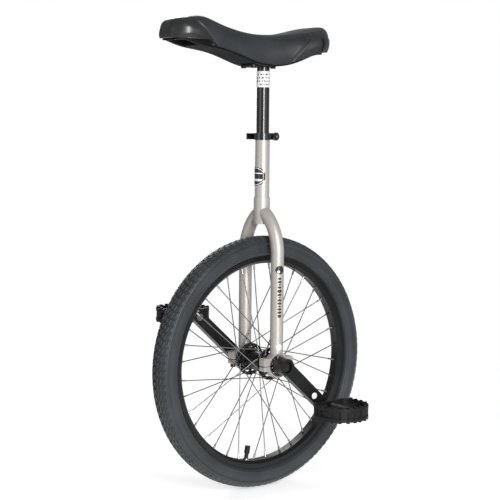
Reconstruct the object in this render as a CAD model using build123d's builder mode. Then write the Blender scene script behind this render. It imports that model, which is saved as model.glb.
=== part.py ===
from build123d import *
from math import cos, radians, sin
import os

# A 20 inch unicycle, in millimetres. The origin is where the tyre meets the ground, under the
# axle. +Z is up, +X is forward, towards the saddle's handle end, and +Y is the rider's left.

# ---- wheel ----
wheel_radius = 248.0
tyre_height = 45.0
tyre_half_width = 24.6
tread_thickness = 5.0
casing_thickness = 2.4
tube_wall = 1.2
rim_depth = 7.5
rim_half_width = 15.5
rim_wall = 2.5
rim_flange_height = 6.5
tape_thickness = 0.5
spoke_count = 36
spoke_radius = 1.0
spoke_head_radius = 1.9
spoke_crossing_angle = 60.0
spoke_standoff = 1.3
first_spoke_angle = 5.0
nipple_radius = 2.0
nipple_head_radius = 2.9
nipple_length = 12.0
rim_hole_offset = 2.0
valve_angle = -80.0
valve_reach = 27.5
valve_radius = 4.0
valve_cap_length = 15.0
valve_cap_roof = 3.0

# ---- hub, axle and bearings ----
hub_flange_offset = 32.0
hub_flange_radius = 32.0
hub_flange_thickness = 3.0
hub_barrel_radius = 19.0
hub_shoulder_radius = 15.0
spoke_circle_radius = 28.0
flange_window_count = 9
bearing_spacing = 100.0
bearing_outer_radius = 21.0
bearing_bore_radius = 11.0
bearing_width = 12.0
ball_radius = 3.2
ball_count = 9
housing_wall = 3.6
housing_width = 14.0
housing_split = 1.0
lug_reach = 36.5
upper_lug_height = 15.0
lower_lug_height = 9.0
cap_bolt_offset = 29.5
cap_bolt_radius = 3.0
cap_bolt_grip = 20.0

# ---- cranks and pedals ----
crank_length = 125.0
left_crank_angle = 223.0
crank_boss_radius = 16.5
crank_boss_length = 24.0
crank_eye_radius = 12.5
crank_eye_thickness = 14.0
crank_arm_half_width = 13.0
crank_arm_thickness = 15.0
crank_spread = 16.0
spacer_length = 5.0
spacer_radius = 14.0
taper_size = 12.7
taper_length = 13.5
crank_bolt_radius = 4.0
crank_bolt_head_radius = 9.5
crank_bolt_head_height = 6.0
pedal_thread_radius = 7.1
pedal_gap = 9.0
pedal_length = 100.0
pedal_width = 89.0
pedal_height = 26.0
pedal_rail = 8.0
pedal_outer_corner = 44.0
pedal_inner_corner = 22.0
pedal_groove_height = 14.0
pedal_groove_depth = 2.0
pedal_barrel_radius = 10.5
pedal_bush_radius = 8.0
pedal_bush_length = 12.0
spindle_radius = 5.0
spindle_collar_radius = 9.0
tooth_turn = 22.5
tooth_height = 2.5
tooth_size = 5.0

# ---- frame ----
leg_radius = 12.7
leg_wall = 1.5
leg_bend_radius = 93.0
leg_bend_drop = 55.0
crown_clearance = 24.0
crown_height = 52.0
crown_wall = 1.55
neck_wall = 1.55
neck_length = 177.0
neck_slot_width = 2.5
neck_slot_length = 38.0
badge_radius = 19.5
badge_height = 93.0
badge_thickness = 1.2

# ---- seatpost and its clamp ----
post_radius = 12.7
post_wall = 2.0
post_length = 226.0
post_exposed = 127.0
collar_height = 13.0
collar_wall = 3.2
ear_reach = 30.0
ear_thickness = 7.0
ear_gap = 3.0
skewer_offset = 24.0
skewer_radius = 2.5
clamp_nut_radius = 8.0
clamp_nut_length = 6.0
lever_height = 12.0
lever_thickness = 4.5
lever_cam_radius = 6.0
lever_reach = 44.0
cam_pin_radius = 1.8

# ---- saddle ----
cover_thickness = 2.0
base_thickness = 12.0
base_drop = 3.0
base_share = 0.8
plate_length = 60.0
plate_middle = 12.0
plate_width = 42.0
plate_thickness = 4.0
plate_bolt_x = 24.0
plate_bolt_y = 15.5
saddle_bolt_radius = 3.0
handle_start = 150.0
bumper_floor = 44.0
bumper_wall = 7.0
seam_lean = 45.0
rear_bumper_start = 92.0
rear_bumper_top = 57.0
rear_bumper_wall = 4.0
bumper_screw_radius = 2.0

# ---- clearances ----
slip = 0.05
ball_gap = 0.08
pin_gap = 0.08
moving_gap = 0.4

# ---- places that follow from the sizes above ----
axle_height = wheel_radius
bead_radius = wheel_radius - tyre_height
rim_inner_radius = bead_radius - rim_depth
flange_top = bead_radius + rim_flange_height
rim_inside = rim_half_width - rim_wall
crown_bottom = axle_height + wheel_radius + crown_clearance
neck_radius = post_radius + slip + neck_wall
crown_radius = neck_radius + crown_wall
neck_top = crown_bottom + neck_length
seat_height = neck_top + post_exposed
leg_offset = bearing_spacing / 2
housing_radius = bearing_outer_radius + housing_wall
skewer_height = neck_top - collar_height / 2
collar_radius = neck_radius + collar_wall
crank_boss_inner = leg_offset + bearing_width / 2 + spacer_length
crank_boss_outer = crank_boss_inner + crank_boss_length
taper_end = crank_boss_inner + taper_length
crank_eye_inner = crank_boss_inner + crank_spread
crank_eye_outer = crank_eye_inner + crank_eye_thickness
pedal_inner = crank_eye_outer + pedal_gap
pedal_outer = pedal_inner + pedal_width

left_crank_direction = (cos(radians(left_crank_angle)), 0, sin(radians(left_crank_angle)))

from_top = (Align.CENTER, Align.CENTER, Align.MAX)
from_bottom = (Align.CENTER, Align.CENTER, Align.MIN)
axle_axis = Axis((0, 0, axle_height), (0, 1, 0))
wheel_section = Plane(origin=(0, 0, axle_height), x_dir=(0, 1, 0), z_dir=(1, 0, 0))
sides = (("left", 1), ("right", -1))

os.makedirs("parts", exist_ok=True)


def wheel_point(radius, angle, offset):
    """A point on the wheel: distance from the axle, angle from +X towards +Z, offset along +Y."""
    return Vector(radius * cos(radians(angle)), offset, axle_height + radius * sin(radians(angle)))


def axle_plane(offset, x=0.0, z=axle_height):
    """A plane across the axle's direction, whose own Z runs along +Y."""
    return Plane(origin=(x, offset, z), x_dir=(-1, 0, 0), z_dir=(0, 1, 0))


# ---- tyre ----
shoulder = (0.87 * tyre_half_width, wheel_radius - 8)
hip = (0.85 * tyre_half_width, bead_radius + 11)
inner_shoulder = (shoulder[0] - casing_thickness, shoulder[1] - 3.5)
inner_hip = (hip[0] - casing_thickness, hip[1] + 2)
belly = (tyre_half_width, bead_radius + 0.55 * tyre_height)
inner_belly = (belly[0] - casing_thickness, belly[1])
inner_crown = wheel_radius - tread_thickness
bead_outside = rim_inside - slip
bead_inside = bead_outside - 3

with BuildPart() as tyre:
    with BuildSketch(wheel_section):
        with BuildLine():
            ThreePointArc((0, wheel_radius), (0.53 * tyre_half_width, wheel_radius - 2), shoulder)
            ThreePointArc(shoulder, belly, hip)
            Polyline(
                hip,
                (bead_outside, flange_top + 0.5),
                (bead_outside, bead_radius + slip),
                (bead_inside, bead_radius + slip),
                (bead_inside, flange_top),
                inner_hip,
            )
            ThreePointArc(inner_hip, inner_belly, inner_shoulder)
            ThreePointArc(inner_shoulder, (0.5 * inner_belly[0], inner_crown - 1.3), (0, inner_crown))
            mirror(about=Plane.YZ)
        make_face()
    revolve(axis=axle_axis)
tyre.part.label = "tyre"
export_step(tyre.part, "parts/tyre.step")

# ---- spoke lines, shared by the rim, the nipples, the spokes and the hub ----
well_floor = rim_inner_radius + 3.0
tape_ledge = well_floor + 3.4
well_half_width = rim_inside - 5.5


def spoke_line(number):
    """One spoke's hub end, rim end, way out of its flange (+1 or -1 along Y) and grip through it."""
    side = 1 if number % 2 else -1
    leading = number % 4 in (2, 3)
    rim_angle = first_spoke_angle + 360 / spoke_count * number
    turn = -spoke_crossing_angle if leading else spoke_crossing_angle
    outward = side if leading else -side
    clear = spoke_standoff if leading else slip
    elbow = side * hub_flange_offset + outward * (hub_flange_thickness / 2 + spoke_radius + clear)
    hub_end = wheel_point(spoke_circle_radius, rim_angle + turn, elbow)
    rim_end = wheel_point(rim_inner_radius, rim_angle, side * rim_hole_offset)
    return hub_end, rim_end, outward, hub_flange_thickness + spoke_radius + slip + clear


nipple_planes = []
for number in range(spoke_count):
    hub_end, rim_end, outward, grip = spoke_line(number)
    nipple_planes.append(Plane(origin=rim_end, z_dir=rim_end - hub_end))
valve_plane = Plane(
    origin=wheel_point(rim_inner_radius, valve_angle, 0),
    z_dir=wheel_point(1, valve_angle, 0) - wheel_point(0, 0, 0),
)

# ---- rim, rim tape and inner tube ----
with BuildPart() as rim:
    with BuildSketch(wheel_section):
        with BuildLine():
            Polyline(
                (0, rim_inner_radius),
                (rim_half_width - 6, rim_inner_radius),
                (rim_half_width, rim_inner_radius + 5.5),
                (rim_half_width, flange_top),
                (rim_inside, flange_top),
                (rim_inside, bead_radius),
                (rim_inside - 3.5, bead_radius - 0.5),
                (rim_inside - 3.5, tape_ledge),
                (well_half_width, tape_ledge),
                (well_half_width, well_floor),
                (0, well_floor),
            )
            mirror(about=Plane.YZ)
        make_face()
    revolve(axis=axle_axis)
    with Locations(*nipple_planes):
        Cylinder(nipple_radius + slip, 15, mode=Mode.SUBTRACT)
    with Locations(valve_plane):
        Cylinder(valve_radius + slip, 20, mode=Mode.SUBTRACT)
rim.part.label = "rim"
export_step(rim.part, "parts/rim.step")

with BuildPart() as rim_tape:
    with BuildSketch(wheel_section):
        with Locations((0, tape_ledge + tape_thickness / 2)):
            Rectangle(2 * well_half_width + 3.2, tape_thickness)
    revolve(axis=axle_axis)
    with Locations(valve_plane):
        Cylinder(valve_radius + slip, 40, mode=Mode.SUBTRACT)
rim_tape.part.label = "rim_tape"
export_step(rim_tape.part, "parts/rim_tape.step")

tube_radius = 0.7 * inner_belly[0]
tube_centre = bead_radius + 0.53 * tyre_height
tube_floor = tube_centre - tube_radius - rim_inner_radius

with BuildPart() as inner_tube:
    with BuildSketch(wheel_section):
        with Locations((0, tube_centre)):
            Circle(tube_radius)
            Circle(tube_radius - tube_wall, mode=Mode.SUBTRACT)
    revolve(axis=axle_axis)
    with Locations(valve_plane.offset(tube_floor)):
        Cylinder(valve_radius + slip, 8, mode=Mode.SUBTRACT)
inner_tube.part.label = "inner_tube"
export_step(inner_tube.part, "parts/inner_tube.step")

# ---- valve: stem, lock ring and cap ----
stem_top = tube_floor + 2.5
valve_ring_height = 2.4

with BuildPart() as valve_stem:
    with Locations(valve_plane.offset(stem_top)):
        Cylinder(valve_radius, stem_top + valve_reach - valve_cap_roof, align=from_top)
valve_stem.part.label = "valve_stem"
export_step(valve_stem.part, "parts/valve_stem.step")

with BuildPart() as valve_ring:
    with Locations(valve_plane.offset(-3 * slip)):
        Cylinder(valve_radius + 2.2, valve_ring_height, align=from_top)
        Cylinder(valve_radius + slip, 3 * valve_ring_height, mode=Mode.SUBTRACT)
valve_ring.part.label = "valve_ring"
export_step(valve_ring.part, "parts/valve_ring.step")

with BuildPart() as valve_cap:
    with Locations(valve_plane.offset(-valve_reach)):
        Cylinder(valve_radius + 1.3, valve_cap_length, align=from_bottom)
    with Locations(valve_plane.offset(valve_cap_roof - valve_reach - slip)):
        Cylinder(valve_radius + slip, valve_cap_length, align=from_bottom, mode=Mode.SUBTRACT)
valve_cap.part.label = "valve_cap"
export_step(valve_cap.part, "parts/valve_cap.step")

# ---- spokes and nipples ----
nipple_seat = 3.8
elbow_swell = 0.04
nipple_head_height = 1.5

spoke_solids = []
nipple_solids = []
for number in range(spoke_count):
    hub_end, rim_end, outward, grip = spoke_line(number)
    spoke_plane = Plane(origin=hub_end, z_dir=rim_end - hub_end)
    hole_plane = Plane(origin=hub_end, z_dir=(0, -outward, 0))
    with BuildPart() as spoke:
        with Locations(spoke_plane):
            Cylinder(spoke_radius, (rim_end - hub_end).length + 2, align=from_bottom)
            Sphere(spoke_radius + elbow_swell)
        with Locations(hole_plane):
            Cylinder(spoke_radius, grip + 1, align=from_bottom)
        with Locations(hole_plane.offset(grip)):
            Cylinder(spoke_head_radius, 1.2, align=from_bottom)
    spoke_solids.append(spoke.part)
    with BuildPart() as nipple:
        with Locations(nipple_planes[number].offset(nipple_seat)):
            Cylinder(nipple_radius, nipple_seat + nipple_length, align=from_top)
            Cylinder(nipple_head_radius, nipple_head_height, align=from_bottom)
        with Locations(nipple_planes[number].offset(2 + slip)):
            Cylinder(spoke_radius + slip, nipple_length + 5, align=from_top, mode=Mode.SUBTRACT)
    nipple_solids.append(nipple.part)

with BuildPart() as spokes:
    add(spoke_solids)
spokes.part.label = "spokes"
export_step(spokes.part, "parts/spokes.step")

with BuildPart() as spoke_nipples:
    add(nipple_solids)
spoke_nipples.part.label = "spoke_nipples"
export_step(spoke_nipples.part, "parts/spoke_nipples.step")

# ---- hub shell ----
flange_inner = hub_flange_offset - hub_flange_thickness / 2
flange_outer = hub_flange_offset + hub_flange_thickness / 2
hub_end_offset = leg_offset - bearing_width / 2
window_circle = (hub_barrel_radius + spoke_circle_radius) / 2 - 0.3
window_length = 11.0
window_height = spoke_circle_radius - hub_barrel_radius - 4.4

with BuildPart() as hub_shell:
    with BuildSketch(wheel_section):
        with BuildLine():
            Polyline(
                (0, hub_barrel_radius),
                (flange_inner - 3, hub_barrel_radius),
                (flange_inner, hub_barrel_radius + 2),
                (flange_inner, hub_flange_radius),
                (flange_outer, hub_flange_radius),
                (flange_outer, hub_shoulder_radius + 1),
                (flange_outer + 1, hub_shoulder_radius),
                (hub_end_offset, hub_shoulder_radius),
                (hub_end_offset, bearing_bore_radius + slip),
                (0, bearing_bore_radius + slip),
            )
            mirror(about=Plane.YZ)
        make_face()
    revolve(axis=axle_axis)
    for label, side in sides:
        with BuildSketch(axle_plane(side * hub_flange_offset)):
            with PolarLocations(window_circle, flange_window_count, start_angle=10):
                with Locations(Rotation(0, 0, 90)):
                    SlotOverall(window_length, window_height)
        extrude(amount=hub_flange_thickness, both=True, mode=Mode.SUBTRACT)
    for number in range(spoke_count):
        hub_end, rim_end, outward, grip = spoke_line(number)
        with Locations(Plane(origin=hub_end, z_dir=(0, -outward, 0))):
            Cylinder(spoke_radius + slip, 2 * grip, mode=Mode.SUBTRACT)
hub_shell.part.label = "hub_shell"
export_step(hub_shell.part, "parts/hub_shell.step")

# ---- axle, with a square taper and a threaded hole at each end ----
with BuildPart() as axle:
    with Locations(Plane(origin=(0, 0, axle_height), x_dir=left_crank_direction, z_dir=(0, 1, 0))):
        Cylinder(bearing_bore_radius, 2 * crank_boss_inner)
        Box(taper_size, taper_size, 2 * taper_end)
        Cylinder(crank_bolt_radius + slip, 2 * taper_end, mode=Mode.SUBTRACT)
axle.part.label = "axle"
export_step(axle.part, "parts/axle.step")

# ---- bearings: inner rings and balls turn with the wheel, outer rings stay in the frame ----
ball_circle = (bearing_outer_radius + bearing_bore_radius) / 2
ring_height = 0.32 * (bearing_outer_radius - bearing_bore_radius)

for label, side in sides:
    with BuildPart() as outer_ring:
        with BuildSketch(wheel_section):
            with Locations((side * leg_offset, bearing_outer_radius - ring_height / 2)):
                Rectangle(bearing_width, ring_height)
            with Locations((side * leg_offset, ball_circle)):
                Circle(ball_radius + ball_gap, mode=Mode.SUBTRACT)
        revolve(axis=axle_axis)
    outer_ring.part.label = f"{label}_bearing_outer_ring"
    export_step(outer_ring.part, f"parts/{label}_bearing_outer_ring.step")

    with BuildPart() as inner_ring:
        with BuildSketch(wheel_section):
            with Locations((side * leg_offset, bearing_bore_radius + slip + ring_height / 2)):
                Rectangle(bearing_width, ring_height)
            with Locations((side * leg_offset, ball_circle)):
                Circle(ball_radius + ball_gap, mode=Mode.SUBTRACT)
        revolve(axis=axle_axis)
    inner_ring.part.label = f"{label}_bearing_inner_ring"
    export_step(inner_ring.part, f"parts/{label}_bearing_inner_ring.step")

    with BuildPart() as balls:
        with Locations(axle_plane(side * leg_offset)):
            with PolarLocations(ball_circle, ball_count):
                Sphere(ball_radius)
    balls.part.label = f"{label}_bearing_balls"
    export_step(balls.part, f"parts/{label}_bearing_balls.step")

    with BuildPart() as spacer:
        with Locations(axle_plane(side * (leg_offset + (bearing_width + spacer_length) / 2))):
            Cylinder(spacer_radius, spacer_length - 2 * slip)
            Cylinder(bearing_bore_radius + slip, 2 * spacer_length, mode=Mode.SUBTRACT)
    spacer.part.label = f"{label}_axle_spacer"
    export_step(spacer.part, f"parts/{label}_axle_spacer.step")

# ---- bearing housings: an upper half welded to the leg, and a bolted cap below it ----
lug_underside = axle_height - housing_split / 2 - lower_lug_height
cap_bolt_head_height = 6.0
cap_bolt_head_radius = 5.0
bolt_xs = (-cap_bolt_offset, cap_bolt_offset)


def housing_half(side, upward, lug_height):
    """Half a bearing housing with its two lugs: the upper half, or the cap under the axle."""
    lug = Align.MIN if upward > 0 else Align.MAX
    other = Align.MAX if upward > 0 else Align.MIN
    split = upward * housing_split / 2
    with BuildPart() as half:
        with BuildSketch(axle_plane(side * leg_offset)):
            Circle(housing_radius)
            with Locations((0, split)):
                Rectangle(2 * lug_reach, lug_height, align=(Align.CENTER, lug))
                Rectangle(3 * lug_reach, 3 * lug_reach, align=(Align.CENTER, other), mode=Mode.SUBTRACT)
            Circle(bearing_outer_radius + slip, mode=Mode.SUBTRACT)
        extrude(amount=housing_width / 2, both=True)
        fillet(half.edges().filter_by(Axis.Y).group_by(Axis.X)[0], 3)
        fillet(half.edges().filter_by(Axis.Y).group_by(Axis.X)[-1], 3)
        with Locations(*[(x, side * leg_offset, axle_height) for x in bolt_xs]):
            Cylinder(cap_bolt_radius + slip, 3 * upper_lug_height, mode=Mode.SUBTRACT)
    return half.part


for label, side in sides:
    housing = housing_half(side, 1, upper_lug_height)
    housing.label = f"{label}_bearing_housing"
    export_step(housing, f"parts/{label}_bearing_housing.step")

    cap = housing_half(side, -1, lower_lug_height)
    cap.label = f"{label}_bearing_cap"
    export_step(cap, f"parts/{label}_bearing_cap.step")

with BuildPart() as bearing_cap_bolts:
    with Locations(*[(x, side * leg_offset, lug_underside) for x in bolt_xs for label, side in sides]):
        Cylinder(cap_bolt_radius, cap_bolt_grip, align=from_bottom)
        Cylinder(cap_bolt_head_radius, cap_bolt_head_height, align=from_top)
bearing_cap_bolts.part.label = "bearing_cap_bolts"
export_step(bearing_cap_bolts.part, "parts/bearing_cap_bolts.step")

# ---- fork legs: straight up from the housings, then bent in to the crown sleeve ----
bend_start = crown_bottom - leg_bend_drop


def bend_point(angle):
    """A point on the left leg's bend, in Y and Z: its angle is from where the bend starts."""
    across = leg_offset - leg_bend_radius * (1 - cos(radians(angle)))
    return across, bend_start + leg_bend_radius * sin(radians(angle))


for label, side in sides:
    with BuildPart() as leg:
        with BuildLine(Plane.YZ):
            riser = Line((side * leg_offset, axle_height + 12), (side * leg_offset, bend_start))
            ThreePointArc(
                riser @ 1,
                (side * bend_point(30)[0], bend_point(30)[1]),
                (side * bend_point(60)[0], bend_point(60)[1]),
            )
        with BuildSketch(Plane(origin=(0, side * leg_offset, axle_height + 12))):
            Circle(leg_radius)
            Circle(leg_radius - leg_wall, mode=Mode.SUBTRACT)
        sweep()
        with Locations((0, 0, crown_bottom)):
            Cylinder(crown_radius + slip, 4 * crown_height, mode=Mode.SUBTRACT)
        with Locations(axle_plane(side * leg_offset)):
            Cylinder(housing_radius + slip, 4 * leg_radius, mode=Mode.SUBTRACT)
    leg.part.label = f"{label}_fork_leg"
    export_step(leg.part, f"parts/{label}_fork_leg.step")

# ---- crown sleeve and slotted neck tube ----
with BuildPart() as crown_sleeve:
    with Locations((0, 0, crown_bottom)):
        Cylinder(crown_radius, crown_height, align=from_bottom)
        Cylinder(neck_radius + slip, crown_height, align=from_bottom, mode=Mode.SUBTRACT)
crown_sleeve.part.label = "crown_sleeve"
export_step(crown_sleeve.part, "parts/crown_sleeve.step")

with BuildPart() as neck_tube:
    with Locations((0, 0, crown_bottom)):
        Cylinder(neck_radius, neck_length, align=from_bottom)
        Cylinder(neck_radius - neck_wall, neck_length, align=from_bottom, mode=Mode.SUBTRACT)
    with Locations((-neck_radius, 0, neck_top)):
        Box(neck_radius, neck_slot_width, 2 * neck_slot_length, mode=Mode.SUBTRACT)
neck_tube.part.label = "neck_tube"
export_step(neck_tube.part, "parts/neck_tube.step")

# ---- round badge, curved to the front of the neck ----
badge_outline = []
for angle in range(0, 360, 15):
    around = badge_radius * cos(radians(angle)) / neck_radius
    rise = badge_radius * sin(radians(angle))
    badge_outline.append((neck_radius * sin(around), crown_bottom + badge_height + rise))

with BuildPart() as head_badge:
    with BuildSketch(Plane.YZ):
        with BuildLine():
            Spline(*badge_outline, periodic=True)
        make_face()
    extrude(amount=2 * neck_radius)
    with Locations((0, 0, crown_bottom + badge_height)):
        Cylinder(neck_radius + badge_thickness, 3 * badge_radius, mode=Mode.INTERSECT)
        Cylinder(neck_radius + slip, 3 * badge_radius, mode=Mode.SUBTRACT)
head_badge.part.label = "head_badge"
export_step(head_badge.part, "parts/head_badge.step")

# ---- seat clamp: collar, skewer, round nut, thrust washer and quick-release lever ----
ear_outside = ear_gap / 2 + ear_thickness
washer_thickness = 2.0
cam_offset = ear_outside + washer_thickness + lever_cam_radius + moving_gap
eye_height = 6.0
clamp_point = (-skewer_offset, 0, skewer_height)
rearward = (Align.MAX, Align.CENTER, Align.CENTER)

with BuildPart() as clamp_collar:
    with Locations((0, 0, skewer_height)):
        Cylinder(collar_radius, collar_height)
    with Locations((-neck_radius, 0, skewer_height)):
        Box(ear_reach - neck_radius, 2 * ear_outside, collar_height, align=rearward)
    fillet(clamp_collar.edges().filter_by(Axis.Z).group_by(Axis.X)[0], 3)
    with Locations((0, 0, skewer_height)):
        Cylinder(neck_radius + slip, 2 * collar_height, mode=Mode.SUBTRACT)
        Box(3 * ear_reach, ear_gap, 2 * collar_height, align=rearward, mode=Mode.SUBTRACT)
    with Locations(Plane(origin=clamp_point, z_dir=(0, 1, 0))):
        Cylinder(skewer_radius + slip, 4 * ear_outside, mode=Mode.SUBTRACT)
clamp_collar.part.label = "clamp_collar"
export_step(clamp_collar.part, "parts/clamp_collar.step")

with BuildPart() as clamp_skewer:
    with Locations(Plane(origin=(-skewer_offset, -cam_offset, skewer_height), z_dir=(0, 1, 0))):
        Cylinder(skewer_radius, cam_offset + ear_outside + clamp_nut_length + 1, align=from_bottom)
    with Locations((-skewer_offset, -cam_offset, skewer_height)):
        Cylinder(lever_cam_radius - 1.5, eye_height)
        Cylinder(cam_pin_radius + pin_gap, 2 * eye_height, mode=Mode.SUBTRACT)
clamp_skewer.part.label = "clamp_skewer"
export_step(clamp_skewer.part, "parts/clamp_skewer.step")

with BuildPart() as clamp_nut:
    with Locations(Plane(origin=(-skewer_offset, ear_outside, skewer_height), z_dir=(0, 1, 0))):
        Cylinder(clamp_nut_radius, clamp_nut_length, align=from_bottom)
        chamfer(clamp_nut.edges().group_by(Axis.Y)[-1], 1.5)
        Cylinder(skewer_radius + slip, 3 * clamp_nut_length, mode=Mode.SUBTRACT)
clamp_nut.part.label = "clamp_nut"
export_step(clamp_nut.part, "parts/clamp_nut.step")

with BuildPart() as thrust_washer:
    with Locations(Plane(origin=(-skewer_offset, -ear_outside, skewer_height), z_dir=(0, -1, 0))):
        Cylinder(lever_cam_radius, washer_thickness, align=from_bottom)
        Cylinder(skewer_radius + slip, 3 * washer_thickness, mode=Mode.SUBTRACT)
thrust_washer.part.label = "thrust_washer"
export_step(thrust_washer.part, "parts/thrust_washer.step")

lever_bow = collar_radius + 8
lever_plane = Plane(origin=(0, 0, skewer_height - lever_height / 2))
with BuildPart() as quick_release_lever:
    with BuildSketch(lever_plane):
        with BuildLine():
            outside = ThreePointArc(
                (-skewer_offset, -cam_offset - lever_cam_radius),
                (0, -lever_bow - lever_thickness / 2),
                (lever_reach - skewer_offset, -lever_bow),
            )
            inside = ThreePointArc(
                (-skewer_offset, lever_thickness - cam_offset - lever_cam_radius),
                (0, lever_thickness / 2 - lever_bow),
                (lever_reach - skewer_offset, lever_thickness - lever_bow),
            )
            Line(outside @ 0, inside @ 0)
            Line(outside @ 1, inside @ 1)
        make_face()
        with Locations((-skewer_offset, -cam_offset)):
            Circle(lever_cam_radius)
    extrude(amount=lever_height)
    with Locations((-skewer_offset, -cam_offset, skewer_height)):
        Cylinder(cam_pin_radius, 2 * lever_height, mode=Mode.SUBTRACT)
        Cylinder(lever_cam_radius + 0.5, eye_height + 2 * moving_gap, mode=Mode.SUBTRACT)
quick_release_lever.part.label = "quick_release_lever"
export_step(quick_release_lever.part, "parts/quick_release_lever.step")

with BuildPart() as lever_pin:
    with Locations((-skewer_offset, -cam_offset, skewer_height)):
        Cylinder(cam_pin_radius, lever_height)
lever_pin.part.label = "lever_pin"
export_step(lever_pin.part, "parts/lever_pin.step")

# ---- cranks, their bolts, and the pedal spindles ----
for label, side in sides:
    angle = left_crank_angle if side > 0 else left_crank_angle - 180
    eye = wheel_point(crank_length, angle, 0)
    crank_x = Vector(cos(radians(angle)), 0, sin(radians(angle)))
    outward = Vector(0, side, 0)
    boss_place = (0, side * crank_boss_inner, axle_height)
    plan_plane = Plane(origin=boss_place, x_dir=crank_x, z_dir=outward)
    side_plane = Plane(origin=boss_place, x_dir=crank_x, z_dir=crank_x.cross(outward))

    with BuildPart() as crank:
        with BuildSketch(plan_plane) as plan:
            Circle(crank_arm_half_width)
            with Locations((crank_length, 0)):
                Circle(crank_eye_radius)
            make_hull()
        extrude(amount=2 * crank_boss_length)
        with BuildSketch(side_plane) as profile:
            with BuildLine():
                Polyline(
                    (-2 * crank_boss_radius, crank_boss_length - crank_arm_thickness),
                    (crank_boss_radius, crank_boss_length - crank_arm_thickness),
                    (crank_length - crank_eye_radius, crank_spread),
                    (crank_length + 2 * crank_eye_radius, crank_spread),
                    (crank_length + 2 * crank_eye_radius, crank_spread + crank_eye_thickness),
                    (crank_length - crank_eye_radius, crank_spread + crank_eye_thickness),
                    (crank_boss_radius, crank_boss_length),
                    (-2 * crank_boss_radius, crank_boss_length),
                    close=True,
                )
            make_face()
        extrude(amount=2 * crank_boss_radius, both=True, mode=Mode.INTERSECT)
        with BuildSketch(plan_plane):
            Circle(crank_boss_radius)
        extrude(amount=crank_boss_length)
        with BuildSketch(plan_plane):
            Rectangle(taper_size + 2 * slip, taper_size + 2 * slip)
        extrude(amount=crank_boss_length, mode=Mode.SUBTRACT)
        with BuildSketch(plan_plane.offset(taper_length)):
            Circle(crank_bolt_head_radius + 1.5)
        extrude(amount=crank_boss_length, mode=Mode.SUBTRACT)
        with BuildSketch(plan_plane):
            with Locations((crank_length, 0)):
                Circle(pedal_thread_radius + slip)
        extrude(amount=2 * crank_boss_length, mode=Mode.SUBTRACT)
    crank.part.label = f"{label}_crank"
    export_step(crank.part, f"parts/{label}_crank.step")

with BuildPart() as crank_bolts:
    for label, side in sides:
        with Locations(Plane(origin=(0, side * (taper_end + slip), axle_height), z_dir=(0, side, 0))):
            Cylinder(crank_bolt_head_radius, crank_bolt_head_height, align=from_bottom)
            Cylinder(crank_bolt_radius, 2 * taper_length, align=from_top)
        head_top = (0, side * (taper_end + crank_bolt_head_height), axle_height)
        with BuildSketch(Plane(origin=head_top, z_dir=(0, side, 0))):
            RegularPolygon(crank_bolt_radius, 6)
        extrude(amount=-crank_bolt_head_height / 2, mode=Mode.SUBTRACT)
crank_bolts.part.label = "crank_bolts"
export_step(crank_bolts.part, "parts/crank_bolts.step")

# ---- pedals: a threaded spindle, a platform that turns on it, bushes and an end cap ----
spindle_end = pedal_outer - 7
cap_thickness = 4.0
window_x = pedal_length / 2 - pedal_rail
rail_x = pedal_length / 2 - pedal_rail / 2
corner_x = pedal_length / 2 - pedal_outer_corner
corner_y = pedal_width - pedal_outer_corner
tooth_radius = pedal_outer_corner - pedal_rail / 2

# Teeth stand along both straight rails and round the outer corners, as (x, y) from the inner end.
rail_teeth = [
    (end * rail_x, pedal_inner_corner + y)
    for end in (-1, 1)
    for y in (-6, 8)
]
corner_teeth = [
    (
        end * (corner_x + tooth_radius * cos(radians(number * tooth_turn))),
        corner_y + tooth_radius * sin(radians(number * tooth_turn)),
    )
    for end in (-1, 1)
    for number in range(5)
]


def spindle_plane(eye, side, offset):
    """A plane across a pedal's spindle, at a distance from the unicycle's middle."""
    return Plane(origin=(eye.X, side * offset, eye.Z), x_dir=(1, 0, 0), z_dir=(0, side, 0))


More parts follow.
